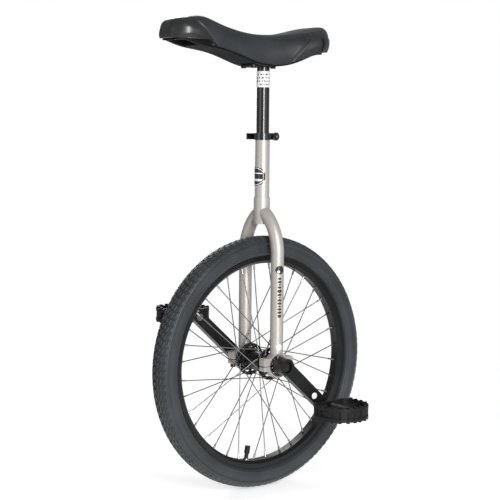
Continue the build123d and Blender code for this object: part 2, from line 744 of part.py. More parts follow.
for label, side in sides:
    angle = left_crank_angle if side > 0 else left_crank_angle - 180
    eye = wheel_point(crank_length, angle, 0)

    with BuildPart() as spindle:
        with Locations(spindle_plane(eye, side, crank_eye_inner)):
            Cylinder(pedal_thread_radius, crank_eye_thickness, align=from_bottom)
        with BuildSketch(spindle_plane(eye, side, crank_eye_outer)):
            Circle(spindle_collar_radius)
            Rectangle(3 * spindle_collar_radius, 2 * spindle_collar_radius - 3, mode=Mode.INTERSECT)
        extrude(amount=pedal_gap - 2 * moving_gap)
        with Locations(spindle_plane(eye, side, crank_eye_outer)):
            Cylinder(spindle_radius, spindle_end - crank_eye_outer, align=from_bottom)
    spindle.part.label = f"{label}_pedal_spindle"
    export_step(spindle.part, f"parts/{label}_pedal_spindle.step")

    with BuildSketch() as outline:
        with Locations((eye.X, side * (pedal_inner + pedal_width / 2))):
            Rectangle(pedal_length, pedal_width)
        fillet(outline.vertices().sort_by(Axis((0, 0, 0), (0, side, 0)))[2:], pedal_outer_corner)
        fillet(outline.vertices().sort_by(Axis((0, 0, 0), (0, side, 0)))[:2], pedal_inner_corner)

    with BuildPart() as platform:
        with BuildSketch(Plane.XY.offset(eye.Z - pedal_height / 2)):
            add(outline.sketch)
            offset(amount=-pedal_rail, mode=Mode.SUBTRACT)
        extrude(amount=pedal_height)
        with BuildSketch(Plane.XY.offset(eye.Z - pedal_groove_height / 2)):
            add(outline.sketch)
            offset(amount=-pedal_groove_depth, mode=Mode.SUBTRACT)
        extrude(amount=pedal_groove_height, mode=Mode.SUBTRACT)
        with Locations(spindle_plane(eye, side, pedal_inner)):
            Cylinder(pedal_barrel_radius, pedal_width - 7, align=from_bottom)
        with Locations((eye.X, side * (pedal_inner + pedal_width / 2), eye.Z)):
            Box(2 * window_x, 5, pedal_height - 8)
        slot_y = side * (pedal_inner + (pedal_inner_corner + corner_y) / 2)
        with Locations(*[(eye.X + x, slot_y, eye.Z) for x in (-rail_x, rail_x)]):
            Box(2 * pedal_rail, corner_y - pedal_inner_corner, 0.4 * pedal_height, mode=Mode.SUBTRACT)
        tooth_spots = rail_teeth + corner_teeth
        with Locations(*[(eye.X + x, side * (pedal_inner + y), eye.Z) for x, y in tooth_spots]):
            Box(tooth_size, tooth_size, pedal_height + 2 * tooth_height)
        with Locations(spindle_plane(eye, side, pedal_inner)):
            Cylinder(pedal_bush_radius, 2 * pedal_width, mode=Mode.SUBTRACT)
    platform.part.label = f"{label}_pedal_platform"
    export_step(platform.part, f"parts/{label}_pedal_platform.step")

    with BuildPart() as bushes:
        for start in (pedal_inner + 1, spindle_end - pedal_bush_length - 1):
            with Locations(spindle_plane(eye, side, start)):
                Cylinder(pedal_bush_radius - slip, pedal_bush_length, align=from_bottom)
                Cylinder(spindle_radius + pin_gap, 3 * pedal_bush_length, mode=Mode.SUBTRACT)
    bushes.part.label = f"{label}_pedal_bushes"
    export_step(bushes.part, f"parts/{label}_pedal_bushes.step")

    with BuildPart() as end_cap:
        with Locations(spindle_plane(eye, side, pedal_outer - 7 + moving_gap)):
            Cylinder(pedal_bush_radius - slip, cap_thickness, align=from_bottom)
    end_cap.part.label = f"{label}_pedal_end_cap"
    export_step(end_cap.part, f"parts/{label}_pedal_end_cap.step")

# ---- seatpost with the plate that carries the saddle ----
with BuildPart() as seatpost:
    with Locations((0, 0, seat_height)):
        Cylinder(post_radius, post_length, align=from_top)
        Cylinder(post_radius - post_wall, post_length, align=from_top, mode=Mode.SUBTRACT)
seatpost.part.label = "seatpost"
export_step(seatpost.part, "parts/seatpost.step")

saddle_bolt_places = [
    (plate_middle + x, y)
    for x in (-plate_bolt_x, plate_bolt_x)
    for y in (-plate_bolt_y, plate_bolt_y)
]
with BuildPart() as saddle_plate:
    with BuildSketch(Plane.XY.offset(seat_height)):
        with Locations((plate_middle, 0)):
            RectangleRounded(plate_length, plate_width, 6)
        with Locations(*saddle_bolt_places):
            Circle(saddle_bolt_radius + slip, mode=Mode.SUBTRACT)
    extrude(amount=plate_thickness)
saddle_plate.part.label = "saddle_plate"
export_step(saddle_plate.part, "parts/saddle_plate.step")

# ---- saddle outline: place along X, half width, underside and top above the plate ----
saddle_stations = (
    (-131, 44, 35, 83),
    (-122, 55, 31, 84),
    (-100, 72, 29.5, 79),
    (-60, 68, 19, 70),
    (-15, 54, 5, 64.2),
    (35, 45, 6.5, 63.5),
    (85, 42, 21, 69.5),
    (135, 43, 32, 82.7),
    (165, 44, 36, 90.2),
    (200, 42, 44.5, 84.5),
    (219, 31, 45.5, 81),
    (230, 20, 47, 66),
)


def saddle_body(inset, raised, stations=saddle_stations):
    """The saddle's whole outline, drawn in at the sides and top by inset and raised underneath."""
    with BuildPart() as body:
        for x, half_width, underside, top in stations:
            low = seat_height + underside + raised
            high = seat_height + top - inset
            wide = half_width - inset
            with BuildSketch(Plane(origin=(x, 0, 0), x_dir=(0, 1, 0), z_dir=(1, 0, 0))):
                with BuildLine():
                    rim_right = (base_share * wide + 3, low)
                    rim_left = (-base_share * wide - 3, low)
                    Line(rim_left, rim_right)
                    Spline(
                        rim_right,
                        (wide, low + 0.42 * (high - low)),
                        (0.78 * wide, high - 0.13 * (high - low)),
                        (0, high),
                        (-0.78 * wide, high - 0.13 * (high - low)),
                        (-wide, low + 0.42 * (high - low)),
                        rim_left,
                    )
                make_face()
        loft()
    return body.part


def saddle_base_body(grow):
    """The rigid base under the padding: a shallow slab that follows the underside."""
    with BuildPart() as body:
        for x, half_width, underside, top in saddle_stations[2:-1]:
            low = seat_height + underside - base_drop
            with BuildSketch(Plane(origin=(x, 0, 0), x_dir=(0, 1, 0), z_dir=(1, 0, 0))):
                with Locations((0, low + (base_thickness + grow) / 2)):
                    Rectangle(2 * (base_share * half_width + grow), base_thickness + grow)
        loft()
    return body.part


whole_saddle = saddle_body(0, 0)
saddle_lining = saddle_body(cover_thickness, -6)
base_space = saddle_base_body(slip)
back_x = saddle_stations[0][0]
deep = 300.0
ahead = (Align.MIN, Align.CENTER, Align.CENTER)
rear_corner = (Align.MAX, Align.CENTER, Align.MAX)
seam_turn = (0, seam_lean, 0)
seam_point = (handle_start + 17, 0, seat_height + 58)
rear_point = (back_x + 39, 0, seat_height + rear_bumper_top)

finger_start = handle_start + 22
finger_end = handle_start + 55
finger_half_width = 24.0
bumper_solid_x = finger_end + 6
bolt_head_height = 2.5
bolt_head_radius = 5.0
bolt_top = seat_height + 6.0
saddle_nut_radius = 5.5
side_screw_places = [
    Plane(origin=(back_x + 34, side * 70, seat_height + 34), z_dir=(0, -side, 0))
    for label, side in sides
]
screw_length = 14.0
nose_screw_start = seat_height + 43.0
nose_screw_places = [(bumper_solid_x + 3.5, y, nose_screw_start) for y in (-11, 11)]

# Two trimmed inner shapes, made outside the builders that cut with them.
lining_room = Pos(back_x + cover_thickness, 0, seat_height) * Box(deep, deep, deep, align=ahead)
cover_room = saddle_lining & lining_room
shell_room = Pos(back_x + rear_bumper_wall, 0, seat_height) * Box(deep, deep, deep, align=ahead)
rear_room = saddle_body(rear_bumper_wall, -6) & shell_room
front_room = Pos(bumper_solid_x, 0, seat_height) * Box(deep, deep, deep, align=rearward)
bumper_room = saddle_body(bumper_wall, -12) & front_room

# ---- saddle: cover, foam, base and two bumpers ----
with BuildPart() as saddle_cover:
    add(whole_saddle)
    add(cover_room, mode=Mode.SUBTRACT)
    add(base_space, mode=Mode.SUBTRACT)
    with Locations(Location(seam_point, seam_turn)):
        Box(deep, deep, deep, align=ahead, mode=Mode.SUBTRACT)
    with Locations(rear_point):
        Box(deep, deep, deep, align=rear_corner, mode=Mode.SUBTRACT)
saddle_cover.part.label = "saddle_cover"
export_step(saddle_cover.part, "parts/saddle_cover.step")

with BuildPart() as saddle_foam:
    add(cover_room)
    add(saddle_body(0, 1), mode=Mode.INTERSECT)
    add(base_space, mode=Mode.SUBTRACT)
    with Locations(Location(seam_point, seam_turn)):
        Box(deep, deep, deep, align=ahead, mode=Mode.SUBTRACT)
    with Locations(rear_point):
        Box(deep, deep, deep, align=rear_corner, mode=Mode.SUBTRACT)
saddle_foam.part.label = "saddle_foam"
export_step(saddle_foam.part, "parts/saddle_foam.step")

with BuildPart() as front_bumper:
    add(whole_saddle)
    with Locations(Location(seam_point, seam_turn)):
        Box(deep, deep, deep, align=ahead, mode=Mode.INTERSECT)
    with Locations((0, 0, seat_height + bumper_floor)):
        Box(2 * deep, deep, deep, align=from_bottom, mode=Mode.INTERSECT)
    add(bumper_room, mode=Mode.SUBTRACT)
    add(base_space, mode=Mode.SUBTRACT)
    with Locations(*nose_screw_places):
        Cylinder(bumper_screw_radius + slip, 4 * screw_length, mode=Mode.SUBTRACT)
front_bumper.part.label = "front_bumper"
export_step(front_bumper.part, "parts/front_bumper.step")

with BuildPart() as rear_bumper:
    add(whole_saddle)
    with Locations(rear_point):
        Box(deep, deep, deep, align=rear_corner, mode=Mode.INTERSECT)
    add(rear_room, mode=Mode.SUBTRACT)
    add(base_space, mode=Mode.SUBTRACT)
    with Locations(*side_screw_places):
        Cylinder(bumper_screw_radius + slip, 60, mode=Mode.SUBTRACT)
rear_bumper.part.label = "rear_bumper"
export_step(rear_bumper.part, "parts/rear_bumper.step")

with BuildPart() as saddle_base:
    add(saddle_base_body(0))
    with Locations((plate_middle, 0, seat_height + plate_thickness + slip)):
        Box(plate_length + 1, plate_width + 1, 40, align=from_top, mode=Mode.SUBTRACT)
    with Locations(*[(x, y, seat_height) for x, y in saddle_bolt_places]):
        Cylinder(saddle_bolt_radius + slip, 60, mode=Mode.SUBTRACT)
    with Locations(*[(x, y, bolt_top) for x, y in saddle_bolt_places]):
        Cylinder(saddle_nut_radius + 0.5, 30, align=from_bottom, mode=Mode.SUBTRACT)
    with Locations(((finger_start + finger_end) / 2, 0, seat_height)):
        Box(finger_end - finger_start, 2 * finger_half_width, deep, mode=Mode.SUBTRACT)
    with Locations(*nose_screw_places):
        Cylinder(bumper_screw_radius + slip, deep, mode=Mode.SUBTRACT)
    with Locations(*side_screw_places):
        Cylinder(bumper_screw_radius + slip, 60, mode=Mode.SUBTRACT)
saddle_base.part.label = "saddle_base"
export_step(saddle_base.part, "parts/saddle_base.step")

# ---- saddle fasteners ----
with BuildPart() as saddle_bolts:
    with Locations(*[(x, y, seat_height - slip) for x, y in saddle_bolt_places]):
        Cylinder(saddle_bolt_radius, bolt_top - seat_height + bolt_head_height, align=from_bottom)
        Cylinder(bolt_head_radius, bolt_head_height, align=from_top)
saddle_bolts.part.label = "saddle_bolts"
export_step(saddle_bolts.part, "parts/saddle_bolts.step")

with BuildPart() as saddle_nuts:
    with BuildSketch(Plane.XY.offset(bolt_top + slip)):
        with Locations(*saddle_bolt_places):
            RegularPolygon(saddle_nut_radius, 6)
            Circle(saddle_bolt_radius + slip, mode=Mode.SUBTRACT)
    extrude(amount=bolt_head_height)
saddle_nuts.part.label = "saddle_nuts"
export_step(saddle_nuts.part, "parts/saddle_nuts.step")

with BuildPart() as bumper_screws:
    for plane in side_screw_places:
        with Locations(plane.offset(1)):
            Cylinder(bumper_screw_radius, screw_length, align=from_bottom)
    with Locations(*nose_screw_places):
        Cylinder(bumper_screw_radius, 2 * screw_length, align=from_bottom)
bumper_screws.part.label = "bumper_screws"
export_step(bumper_screws.part, "parts/bumper_screws.step")
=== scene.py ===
import math

import bmesh
import bpy
import numpy as np
from mathutils import Matrix, Vector
from mathutils.bvhtree import BVHTree


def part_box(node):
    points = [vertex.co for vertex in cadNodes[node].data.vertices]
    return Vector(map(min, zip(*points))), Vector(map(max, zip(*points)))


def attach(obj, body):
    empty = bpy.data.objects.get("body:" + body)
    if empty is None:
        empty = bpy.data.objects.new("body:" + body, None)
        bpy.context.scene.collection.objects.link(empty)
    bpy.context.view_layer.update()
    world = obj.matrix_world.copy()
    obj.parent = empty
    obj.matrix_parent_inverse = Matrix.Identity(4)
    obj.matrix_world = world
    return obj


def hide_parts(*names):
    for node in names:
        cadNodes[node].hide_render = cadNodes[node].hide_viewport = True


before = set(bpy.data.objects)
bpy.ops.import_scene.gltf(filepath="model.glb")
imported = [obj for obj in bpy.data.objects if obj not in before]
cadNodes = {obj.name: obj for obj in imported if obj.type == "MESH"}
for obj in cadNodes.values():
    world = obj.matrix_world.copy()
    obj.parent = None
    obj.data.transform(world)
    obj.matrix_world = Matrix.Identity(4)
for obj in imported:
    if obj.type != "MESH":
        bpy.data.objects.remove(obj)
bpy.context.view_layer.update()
scene = bpy.context.scene
mm = 0.001
print("frame loaded:", len(cadNodes), "nodes")


shot = {
    "place": (1.5656, 1.9614, 0.7066), "heading": 141.92, "down": 4.382, "roll": 0.54,
    "lens": 92.54, "sensor": 36, "shiftY": -0.047,
}


def placeCamera():
    data = bpy.data.cameras.new("mainCamera")
    data.lens = shot["lens"]
    data.sensor_width = shot["sensor"]
    data.shift_y = shot["shiftY"]
    camera = bpy.data.objects.new("mainCamera", data)
    turn = Matrix.Rotation(math.radians(shot["heading"]), 4, "Z")
    tilt = Matrix.Rotation(math.radians(90 - shot["down"]), 4, "X")
    roll = Matrix.Rotation(math.radians(shot["roll"]), 4, "Z")
    camera.matrix_world = Matrix.Translation(shot["place"]) @ turn @ tilt @ roll
    scene.collection.objects.link(camera)
    scene.camera = camera


# bearing is measured round the object from +X towards +Y, as the camera's own 51 degrees is
softboxes = {
    "keyStrip": {"bearing": 72, "distance": 2.6, "height": 1.05, "width": 0.5, "tall": 2.2, "power": 78},
    "frontFill": {"bearing": 5, "distance": 3.2, "height": 0.9, "width": 1.8, "tall": 1.8, "power": 12},
    "backStrip": {"bearing": 250, "distance": 2.4, "height": 1.3, "width": 1.0, "tall": 1.8, "power": 22},
    "sidePanel": {"bearing": 100, "distance": 2.6, "height": 0.75, "width": 1.8, "tall": 1.5, "power": 7},
}


def placeLights():
    target = Vector((0, 0, 0.45))
    for name, box in softboxes.items():
        data = bpy.data.lights.new(name, "AREA")
        data.shape = "RECTANGLE"
        data.size = box["width"]
        data.size_y = box["tall"]
        data.energy = box["power"]
        light = bpy.data.objects.new(name, data)
        angle = math.radians(box["bearing"])
        across, along = box["distance"] * math.cos(angle), box["distance"] * math.sin(angle)
        light.location = (across, along, box["height"])
        light.rotation_euler = (target - light.location).to_track_quat("-Z", "Y").to_euler()
        scene.collection.objects.link(light)


def paintSky():
    world = bpy.data.worlds.new("studio")
    scene.world = world
    world.use_nodes = True
    tree = world.node_tree
    tree.nodes.clear()
    out = tree.nodes.new("ShaderNodeOutputWorld")
    mixer = tree.nodes.new("ShaderNodeMixShader")
    rays = tree.nodes.new("ShaderNodeLightPath")
    for socket, strength in ((1, 0.30), (2, 1.0)):
        sky = tree.nodes.new("ShaderNodeBackground")
        sky.inputs["Color"].default_value = (1, 1, 1, 1)
        sky.inputs["Strength"].default_value = strength
        tree.links.new(sky.outputs[0], mixer.inputs[socket])
    tree.links.new(rays.outputs["Is Camera Ray"], mixer.inputs[0])
    tree.links.new(mixer.outputs[0], out.inputs["Surface"])


def startMaterial(name, sockets):
    material = bpy.data.materials.new(name)
    material.use_nodes = True
    tree = material.node_tree
    shader = tree.nodes["Principled BSDF"]
    for label, value in sockets.items():
        shader.inputs[label].default_value = value
    return material, tree, shader


def gray(value, blue=0.0):
    return (value, value * (1 + blue * 0.5), value * (1 + blue), 1)


def objectPoint(tree, stretch=(1, 1, 1), shift=(0, 0, 0), turn=(0, 0, 0)):
    point = tree.nodes.new("ShaderNodeTexCoord")
    mapping = tree.nodes.new("ShaderNodeMapping")
    mapping.inputs["Location"].default_value = shift
    mapping.inputs["Rotation"].default_value = turn
    mapping.inputs["Scale"].default_value = stretch
    tree.links.new(point.outputs["Object"], mapping.inputs["Vector"])
    return mapping.outputs["Vector"]


def cloud(tree, point, scale, detail=3.0, roughness=0.55):
    noise = tree.nodes.new("ShaderNodeTexNoise")
    noise.inputs["Scale"].default_value = scale
    noise.inputs["Detail"].default_value = detail
    noise.inputs["Roughness"].default_value = roughness
    tree.links.new(point, noise.inputs["Vector"])
    return noise.outputs["Fac"]


def cells(tree, point, scale, feature="F1"):
    grain = tree.nodes.new("ShaderNodeTexVoronoi")
    grain.feature = feature
    grain.inputs["Scale"].default_value = scale
    tree.links.new(point, grain.inputs["Vector"])
    return grain.outputs["Distance"]


def ramp(tree, source, stops, hard=False):
    node = tree.nodes.new("ShaderNodeValToRGB")
    band = node.color_ramp
    if hard:
        band.interpolation = "CONSTANT"
    while len(band.elements) < len(stops):
        band.elements.new(0.5)
    for element, (place, colour) in zip(band.elements, stops):
        element.position = place
        element.color = colour
    tree.links.new(source, node.inputs["Fac"])
    return node.outputs["Color"]


def spread(tree, source, low, high, fromLow=0.3, fromHigh=0.7):
    node = tree.nodes.new("ShaderNodeMapRange")
    node.inputs["From Min"].default_value = fromLow
    node.inputs["From Max"].default_value = fromHigh
    node.inputs["To Min"].default_value = low
    node.inputs["To Max"].default_value = high
    tree.links.new(source, node.inputs["Value"])
    return node.outputs["Result"]


def reckon(tree, how, first, second=0.0):
    node = tree.nodes.new("ShaderNodeMath")
    node.operation = how
    for socket, value in zip(node.inputs, (first, second)):
        if isinstance(value, (int, float)):
            socket.default_value = value
        else:
            tree.links.new(value, socket)
    return node.outputs[0]


def farFrom(tree, first, second):
    # distance from the middle, from two coordinates
    squares = [reckon(tree, "POWER", value, 2.0) for value in (first, second)]
    return reckon(tree, "SQRT", reckon(tree, "ADD", *squares))


def blendColour(tree, share, first, second):
    node = tree.nodes.new("ShaderNodeMix")
    node.data_type = "RGBA"
    tree.links.new(share, node.inputs["Factor"])
    for socket, value in ((node.inputs[6], first), (node.inputs[7], second)):
        if isinstance(value, tuple):
            socket.default_value = value
        else:
            tree.links.new(value, socket)
    return node.outputs[2]


def emboss(tree, shader, heights):
    # heights: (source, depth in metres), one bump node after another
    last = None
    for source, depth in heights:
        bump = tree.nodes.new("ShaderNodeBump")
        bump.inputs["Strength"].default_value = 1.0
        bump.inputs["Distance"].default_value = depth
        tree.links.new(source, bump.inputs["Height"])
        if last is not None:
            tree.links.new(last, bump.inputs["Normal"])
        last = bump.outputs["Normal"]
    tree.links.new(last, shader.inputs["Normal"])


def mixedFinish(name, look):
    # two tones drifting over the surface, a drifting roughness, and a fine grain in relief
    material, tree, shader = startMaterial(name, look.get("sockets", {}))
    point = objectPoint(tree, look.get("stretch", (1, 1, 1)))
    dark, light, scale = look["tone"]
    broad = cloud(tree, point, scale, 4)
    tones = ramp(tree, broad, ((0.32, dark), (0.7, light)))
    tree.links.new(tones, shader.inputs["Base Color"])
    low, high, scale = look["rough"]
    middle = cloud(tree, point, scale, 5)
    tree.links.new(spread(tree, middle, low, high), shader.inputs["Roughness"])
    heights = []
    for kind, scale, depth in look["relief"]:
        source = cells(tree, point, scale) if kind == "cells" else cloud(tree, point, scale, 3)
        heights.append((source, depth))
    emboss(tree, shader, heights)
    return material


# tone: darkest, lightest and how fine the drift is; rough: the same for roughness; reliefs are in metres
finishes = {
    "blackGlossPaint": {
        "tone": (gray(0.005, 0.1), gray(0.009, 0.1), 9), "rough": (0.16, 0.26, 60),
        "relief": (("cloud", 60, 0.00002),), "sockets": {"Coat Weight": 0.5, "Coat Roughness": 0.08}},
    "satinBlackAlloy": {
        "tone": (gray(0.005), gray(0.010), 14), "rough": (0.30, 0.42, 90),
        "relief": (("cloud", 1400, 0.00003), ("cells", 700, 0.00002)), "sockets": {"Metallic": 0.35}},
    "mouldedBlack": {
        "tone": (gray(0.006), gray(0.012), 20), "rough": (0.40, 0.58, 120),
        "relief": (("cells", 1100, 0.00008), ("cloud", 60, 0.0001)),
        "sockets": {"Specular IOR Level": 0.22}},
    "baseBlack": {
        "tone": (gray(0.003), gray(0.007), 24), "rough": (0.50, 0.66, 110),
        "relief": (("cells", 900, 0.00008), ("cloud", 50, 0.0001)),
        "sockets": {"Specular IOR Level": 0.12}},
    "forgedBlack": {
        "tone": (gray(0.004, 0.1), gray(0.008, 0.1), 16), "rough": (0.28, 0.38, 80),
        "relief": (("cloud", 220, 0.00002),),
        "sockets": {"Specular IOR Level": 0.3, "Coat Weight": 0.12, "Coat Roughness": 0.15}},
    "glossMoulded": {
        "tone": (gray(0.010, 0.08), gray(0.017, 0.08), 12), "rough": (0.24, 0.36, 70),
        "relief": (("cells", 1500, 0.00001), ("cloud", 40, 0.00004)),
        "sockets": {"Coat Weight": 0.25, "Coat Roughness": 0.2}},
    "brightSteel": {
        "tone": (gray(0.42), gray(0.62), 40), "rough": (0.16, 0.30, 260),
        "relief": (("cloud", 1800, 0.00001),), "sockets": {"Metallic": 1.0}},
    "spokeSteel": {
        "tone": (gray(0.16), gray(0.26), 50), "rough": (0.30, 0.42, 260),
        "relief": (("cloud", 1800, 0.00001),), "sockets": {"Metallic": 1.0}},
    "turnedSteel": {
        "tone": (gray(0.38), gray(0.55), 30), "rough": (0.18, 0.34, 300), "stretch": (1, 14, 1),
        "relief": (("cloud", 420, 0.00002),), "sockets": {"Metallic": 1.0}},
    "darkBolt": {
        "tone": (gray(0.020), gray(0.045), 80), "rough": (0.28, 0.45, 240),
        "relief": (("cloud", 1200, 0.00002),), "sockets": {"Metallic": 0.8}},
    "tubeRubber": {
        "tone": (gray(0.012), gray(0.02), 30), "rough": (0.55, 0.75, 100),
        "relief": (("cloud", 500, 0.00005),)},
    "tapeCloth": {
        "tone": ((0.16, 0.13, 0.07, 1), (0.24, 0.20, 0.12, 1), 60), "rough": (0.7, 0.9, 200),
        "relief": (("cells", 1500, 0.0001),)},
    "foamFill": {
        "tone": ((0.20, 0.19, 0.16, 1), (0.32, 0.30, 0.25, 1), 40), "rough": (0.8, 0.95, 200),
        "relief": (("cells", 600, 0.0003),)},
    "bushPlastic": {
        "tone": (gray(0.35), gray(0.45), 30), "rough": (0.4, 0.5, 150),
        "relief": (("cloud", 700, 0.00003),)},
    "threadBlack": {
        "tone": (gray(0.010), gray(0.03), 900), "rough": (0.45, 0.6, 700),
        "relief": (("cloud", 3000, 0.0001),), "sockets": {"Sheen Weight": 0.3}},
    "blackInk": {
        "tone": (gray(0.012), gray(0.022), 200), "rough": (0.3, 0.42, 500),
        "relief": (("cloud", 1500, 0.00001),)},
    "greyInk": {
        "tone": (gray(0.05), gray(0.08), 200), "rough": (0.35, 0.5, 500),
        "relief": (("cloud", 1500, 0.00001),)},
    "whiteVinyl": {
        "tone": (gray(0.72), gray(0.82), 150), "rough": (0.25, 0.4, 300),
        "relief": (("cloud", 600, 0.00002),)},
}


def silverPaint():
    # warm silver with fine flake under a clear coat
    sockets = {"Metallic": 0.4, "Coat Weight": 0.2, "Coat Roughness": 0.25}
    material, tree, shader = startMaterial("silverPaint", sockets)
    point = objectPoint(tree)
    broad = cloud(tree, point, 6, 4)
    base = ramp(tree, broad, ((0.3, (0.43, 0.40, 0.375, 1)), (0.7, (0.49, 0.46, 0.435, 1))))
    flake = cells(tree, point, 2600)
    sparkle = ramp(tree, flake, ((0.15, gray(1.12)), (0.6, gray(0.94))))
    mixer = tree.nodes.new("ShaderNodeMix")
    mixer.data_type = "RGBA"
    mixer.blend_type = "MULTIPLY"
    mixer.inputs["Factor"].default_value = 0.7
    tree.links.new(base, mixer.inputs[6])
    tree.links.new(sparkle, mixer.inputs[7])
    tree.links.new(mixer.outputs[2], shader.inputs["Base Color"])
    tree.links.new(spread(tree, cloud(tree, point, 45, 5), 0.40, 0.50), shader.inputs["Roughness"])
    emboss(tree, shader, ((flake, 0.000005), (cloud(tree, point, 120, 3), 0.00002)))
    return material


def tyreRubber():
    # dull charcoal rubber, with fine rings on the walls as the mould leaves them
    sockets = {"Specular IOR Level": 0.4, "Sheen Weight": 0.06, "Sheen Roughness": 0.4}
    material, tree, shader = startMaterial("tyreRubber", sockets)
    point = objectPoint(tree, shift=(0, 0, -0.248))
    broad = cloud(tree, point, 14, 5)
    tones = ramp(tree, broad, ((0.3, gray(0.019, 0.3)), (0.72, gray(0.034, 0.34))))
    tree.links.new(tones, shader.inputs["Base Color"])
    tree.links.new(spread(tree, cloud(tree, point, 70, 5), 0.36, 0.55), shader.inputs["Roughness"])
    parts = tree.nodes.new("ShaderNodeSeparateXYZ")
    tree.links.new(point, parts.inputs[0])
    reach = farFrom(tree, parts.outputs[0], parts.outputs[2])
    ringSpacing = 0.0011
    rings = reckon(tree, "SINE", reckon(tree, "MULTIPLY", reach, 2 * math.pi / ringSpacing))
    emboss(tree, shader, ((rings, 0.00003), (cloud(tree, point, 420, 4), 0.00012)))
    return material


def saddleVinyl():
    # rubbery cloth-backed vinyl: fine leather-like cells over a faint weave, and a soft sheen
    sockets = {"Sheen Weight": 0.05, "Sheen Roughness": 0.35, "Specular IOR Level": 0.4}
    material, tree, shader = startMaterial("saddleVinyl", sockets)
    point = objectPoint(tree)
    broad = cloud(tree, point, 22, 5)
    tones = ramp(tree, broad, ((0.3, gray(0.015, 0.3)), (0.72, gray(0.025, 0.34))))
    tree.links.new(tones, shader.inputs["Base Color"])
    tree.links.new(spread(tree, cloud(tree, point, 140, 5), 0.38, 0.50), shader.inputs["Roughness"])
    weave = tree.nodes.new("ShaderNodeTexWave")
    weave.inputs["Scale"].default_value = 420
    weave.inputs["Distortion"].default_value = 1.5
    tree.links.new(point, weave.inputs["Vector"])
    grain, slack = cells(tree, point, 950), cloud(tree, point, 36, 4)
    emboss(tree, shader, ((grain, 0.00012), (weave.outputs["Fac"], 0.00002), (slack, 0.0008)))
    return material


# rings: share of the radius where each tone starts; the bars and the line are in metres
emblem = {
    "rings": ((0.0, gray(0)), (0.80, gray(1)), (0.87, gray(0)), (0.97, gray(1))),
    "field": 0.72, "barPitch": 0.0095, "lineHeight": 0.006, "lineHalf": 0.0011,
}


def emblemPrint(middle, radius):
    # a plain ringed disc: dark field, pale rings, and a pale lower half crossed by two bars
    material, tree, shader = startMaterial("emblemPrint", {"Coat Weight": 0.5, "Coat Roughness": 0.1})
    point = objectPoint(tree, shift=tuple(-value for value in middle))
    parts = tree.nodes.new("ShaderNodeSeparateXYZ")
    tree.links.new(point, parts.inputs[0])
    across, up = parts.outputs[1], parts.outputs[2]
    share = reckon(tree, "DIVIDE", farFrom(tree, across, up), radius)
    rings = ramp(tree, share, emblem["rings"], hard=True)
    inside = reckon(tree, "LESS_THAN", share, emblem["field"])
    wave = reckon(tree, "SINE", reckon(tree, "MULTIPLY", up, 2 * math.pi / emblem["barPitch"]))
    bars = reckon(tree, "GREATER_THAN", wave, 0.15)
    lower = reckon(tree, "LESS_THAN", up, -0.0005)
    halfDisc = reckon(tree, "MULTIPLY", reckon(tree, "MULTIPLY", lower, inside), bars)
    offLine = reckon(tree, "ABSOLUTE", reckon(tree, "ADD", up, -emblem["lineHeight"]))
    onLine = reckon(tree, "LESS_THAN", offLine, emblem["lineHalf"])
    stripe = reckon(tree, "MULTIPLY", onLine, inside)
    white = reckon(tree, "MAXIMUM", reckon(tree, "MAXIMUM", rings, halfDisc), stripe)
    tree.links.new(blendColour(tree, white, gray(0.012), gray(0.75)), shader.inputs["Base Color"])
    tree.links.new(spread(tree, cloud(tree, point, 200, 4), 0.25, 0.38), shader.inputs["Roughness"])
    emboss(tree, shader, ((cloud(tree, point, 900, 3), 0.00002),))
    return material


def meshFrom(name, vertices, faces):
    mesh = bpy.data.meshes.new(name)
    mesh.from_pydata([tuple(v) for v in vertices], [], faces)
    mesh.validate()
    return mesh


def outward(mesh):
    # merges doubles, then turns every face outwards
    work = bmesh.new()
    work.from_mesh(mesh)
    bmesh.ops.remove_doubles(work, verts=work.verts, dist=0.00001)
    bmesh.ops.recalc_face_normals(work, faces=work.faces)
    work.to_mesh(mesh)
    work.free()
    return mesh


def addPiece(name, mesh, body, material, smooth=True):
    piece = bpy.data.objects.new(name, mesh)
    scene.collection.objects.link(piece)
    mesh.materials.clear()
    mesh.materials.append(material)
    for polygon in mesh.polygons:
        polygon.use_smooth = smooth
        polygon.material_index = 0
    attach(piece, body)
    return piece


def revolveLoop(loop, steps, middle):
    # loop: closed list of (y, radius) turned round the Y axis through middle
    vertices, faces = [], []
    count = len(loop)
    for step in range(steps):
        angle = 2 * math.pi * step / steps
        for y, radius in loop:
            x, z = radius * math.cos(angle), radius * math.sin(angle)
            vertices.append((middle[0] + x, middle[1] + y, middle[2] + z))
    for step in range(steps):
        for index in range(count):
            a = step * count + index
            b = step * count + (index + 1) % count
            c = ((step + 1) % steps) * count + (index + 1) % count
            d = ((step + 1) % steps) * count + index
            faces.append((a, b, c, d))
    return vertices, faces


def sweepTube(path, radius, sides=8):
    # a closed-ended round tube along a list of points, with a steady frame from one ring to the next
    points = [Vector(p) for p in path]
    vertices, faces = [], []
    side = None
    for index, point in enumerate(points):
        ahead = points[min(index + 1, len(points) - 1)] - points[max(index - 1, 0)]
        ahead.normalize()
        if side is None:
            side = ahead.orthogonal().normalized()
        side = (side - ahead * side.dot(ahead)).normalized()
        other = ahead.cross(side)
        for corner in range(sides):
            angle = 2 * math.pi * corner / sides
            vertices.append(point + radius * (side * math.cos(angle) + other * math.sin(angle)))
    for ring in range(len(points) - 1):
        for corner in range(sides):
            a = ring * sides + corner
            b = ring * sides + (corner + 1) % sides
            faces.append((a, b, b + sides, a + sides))
    faces.append(tuple(range(sides))[::-1])
    faces.append(tuple((len(points) - 1) * sides + corner for corner in range(sides)))
    return vertices, faces


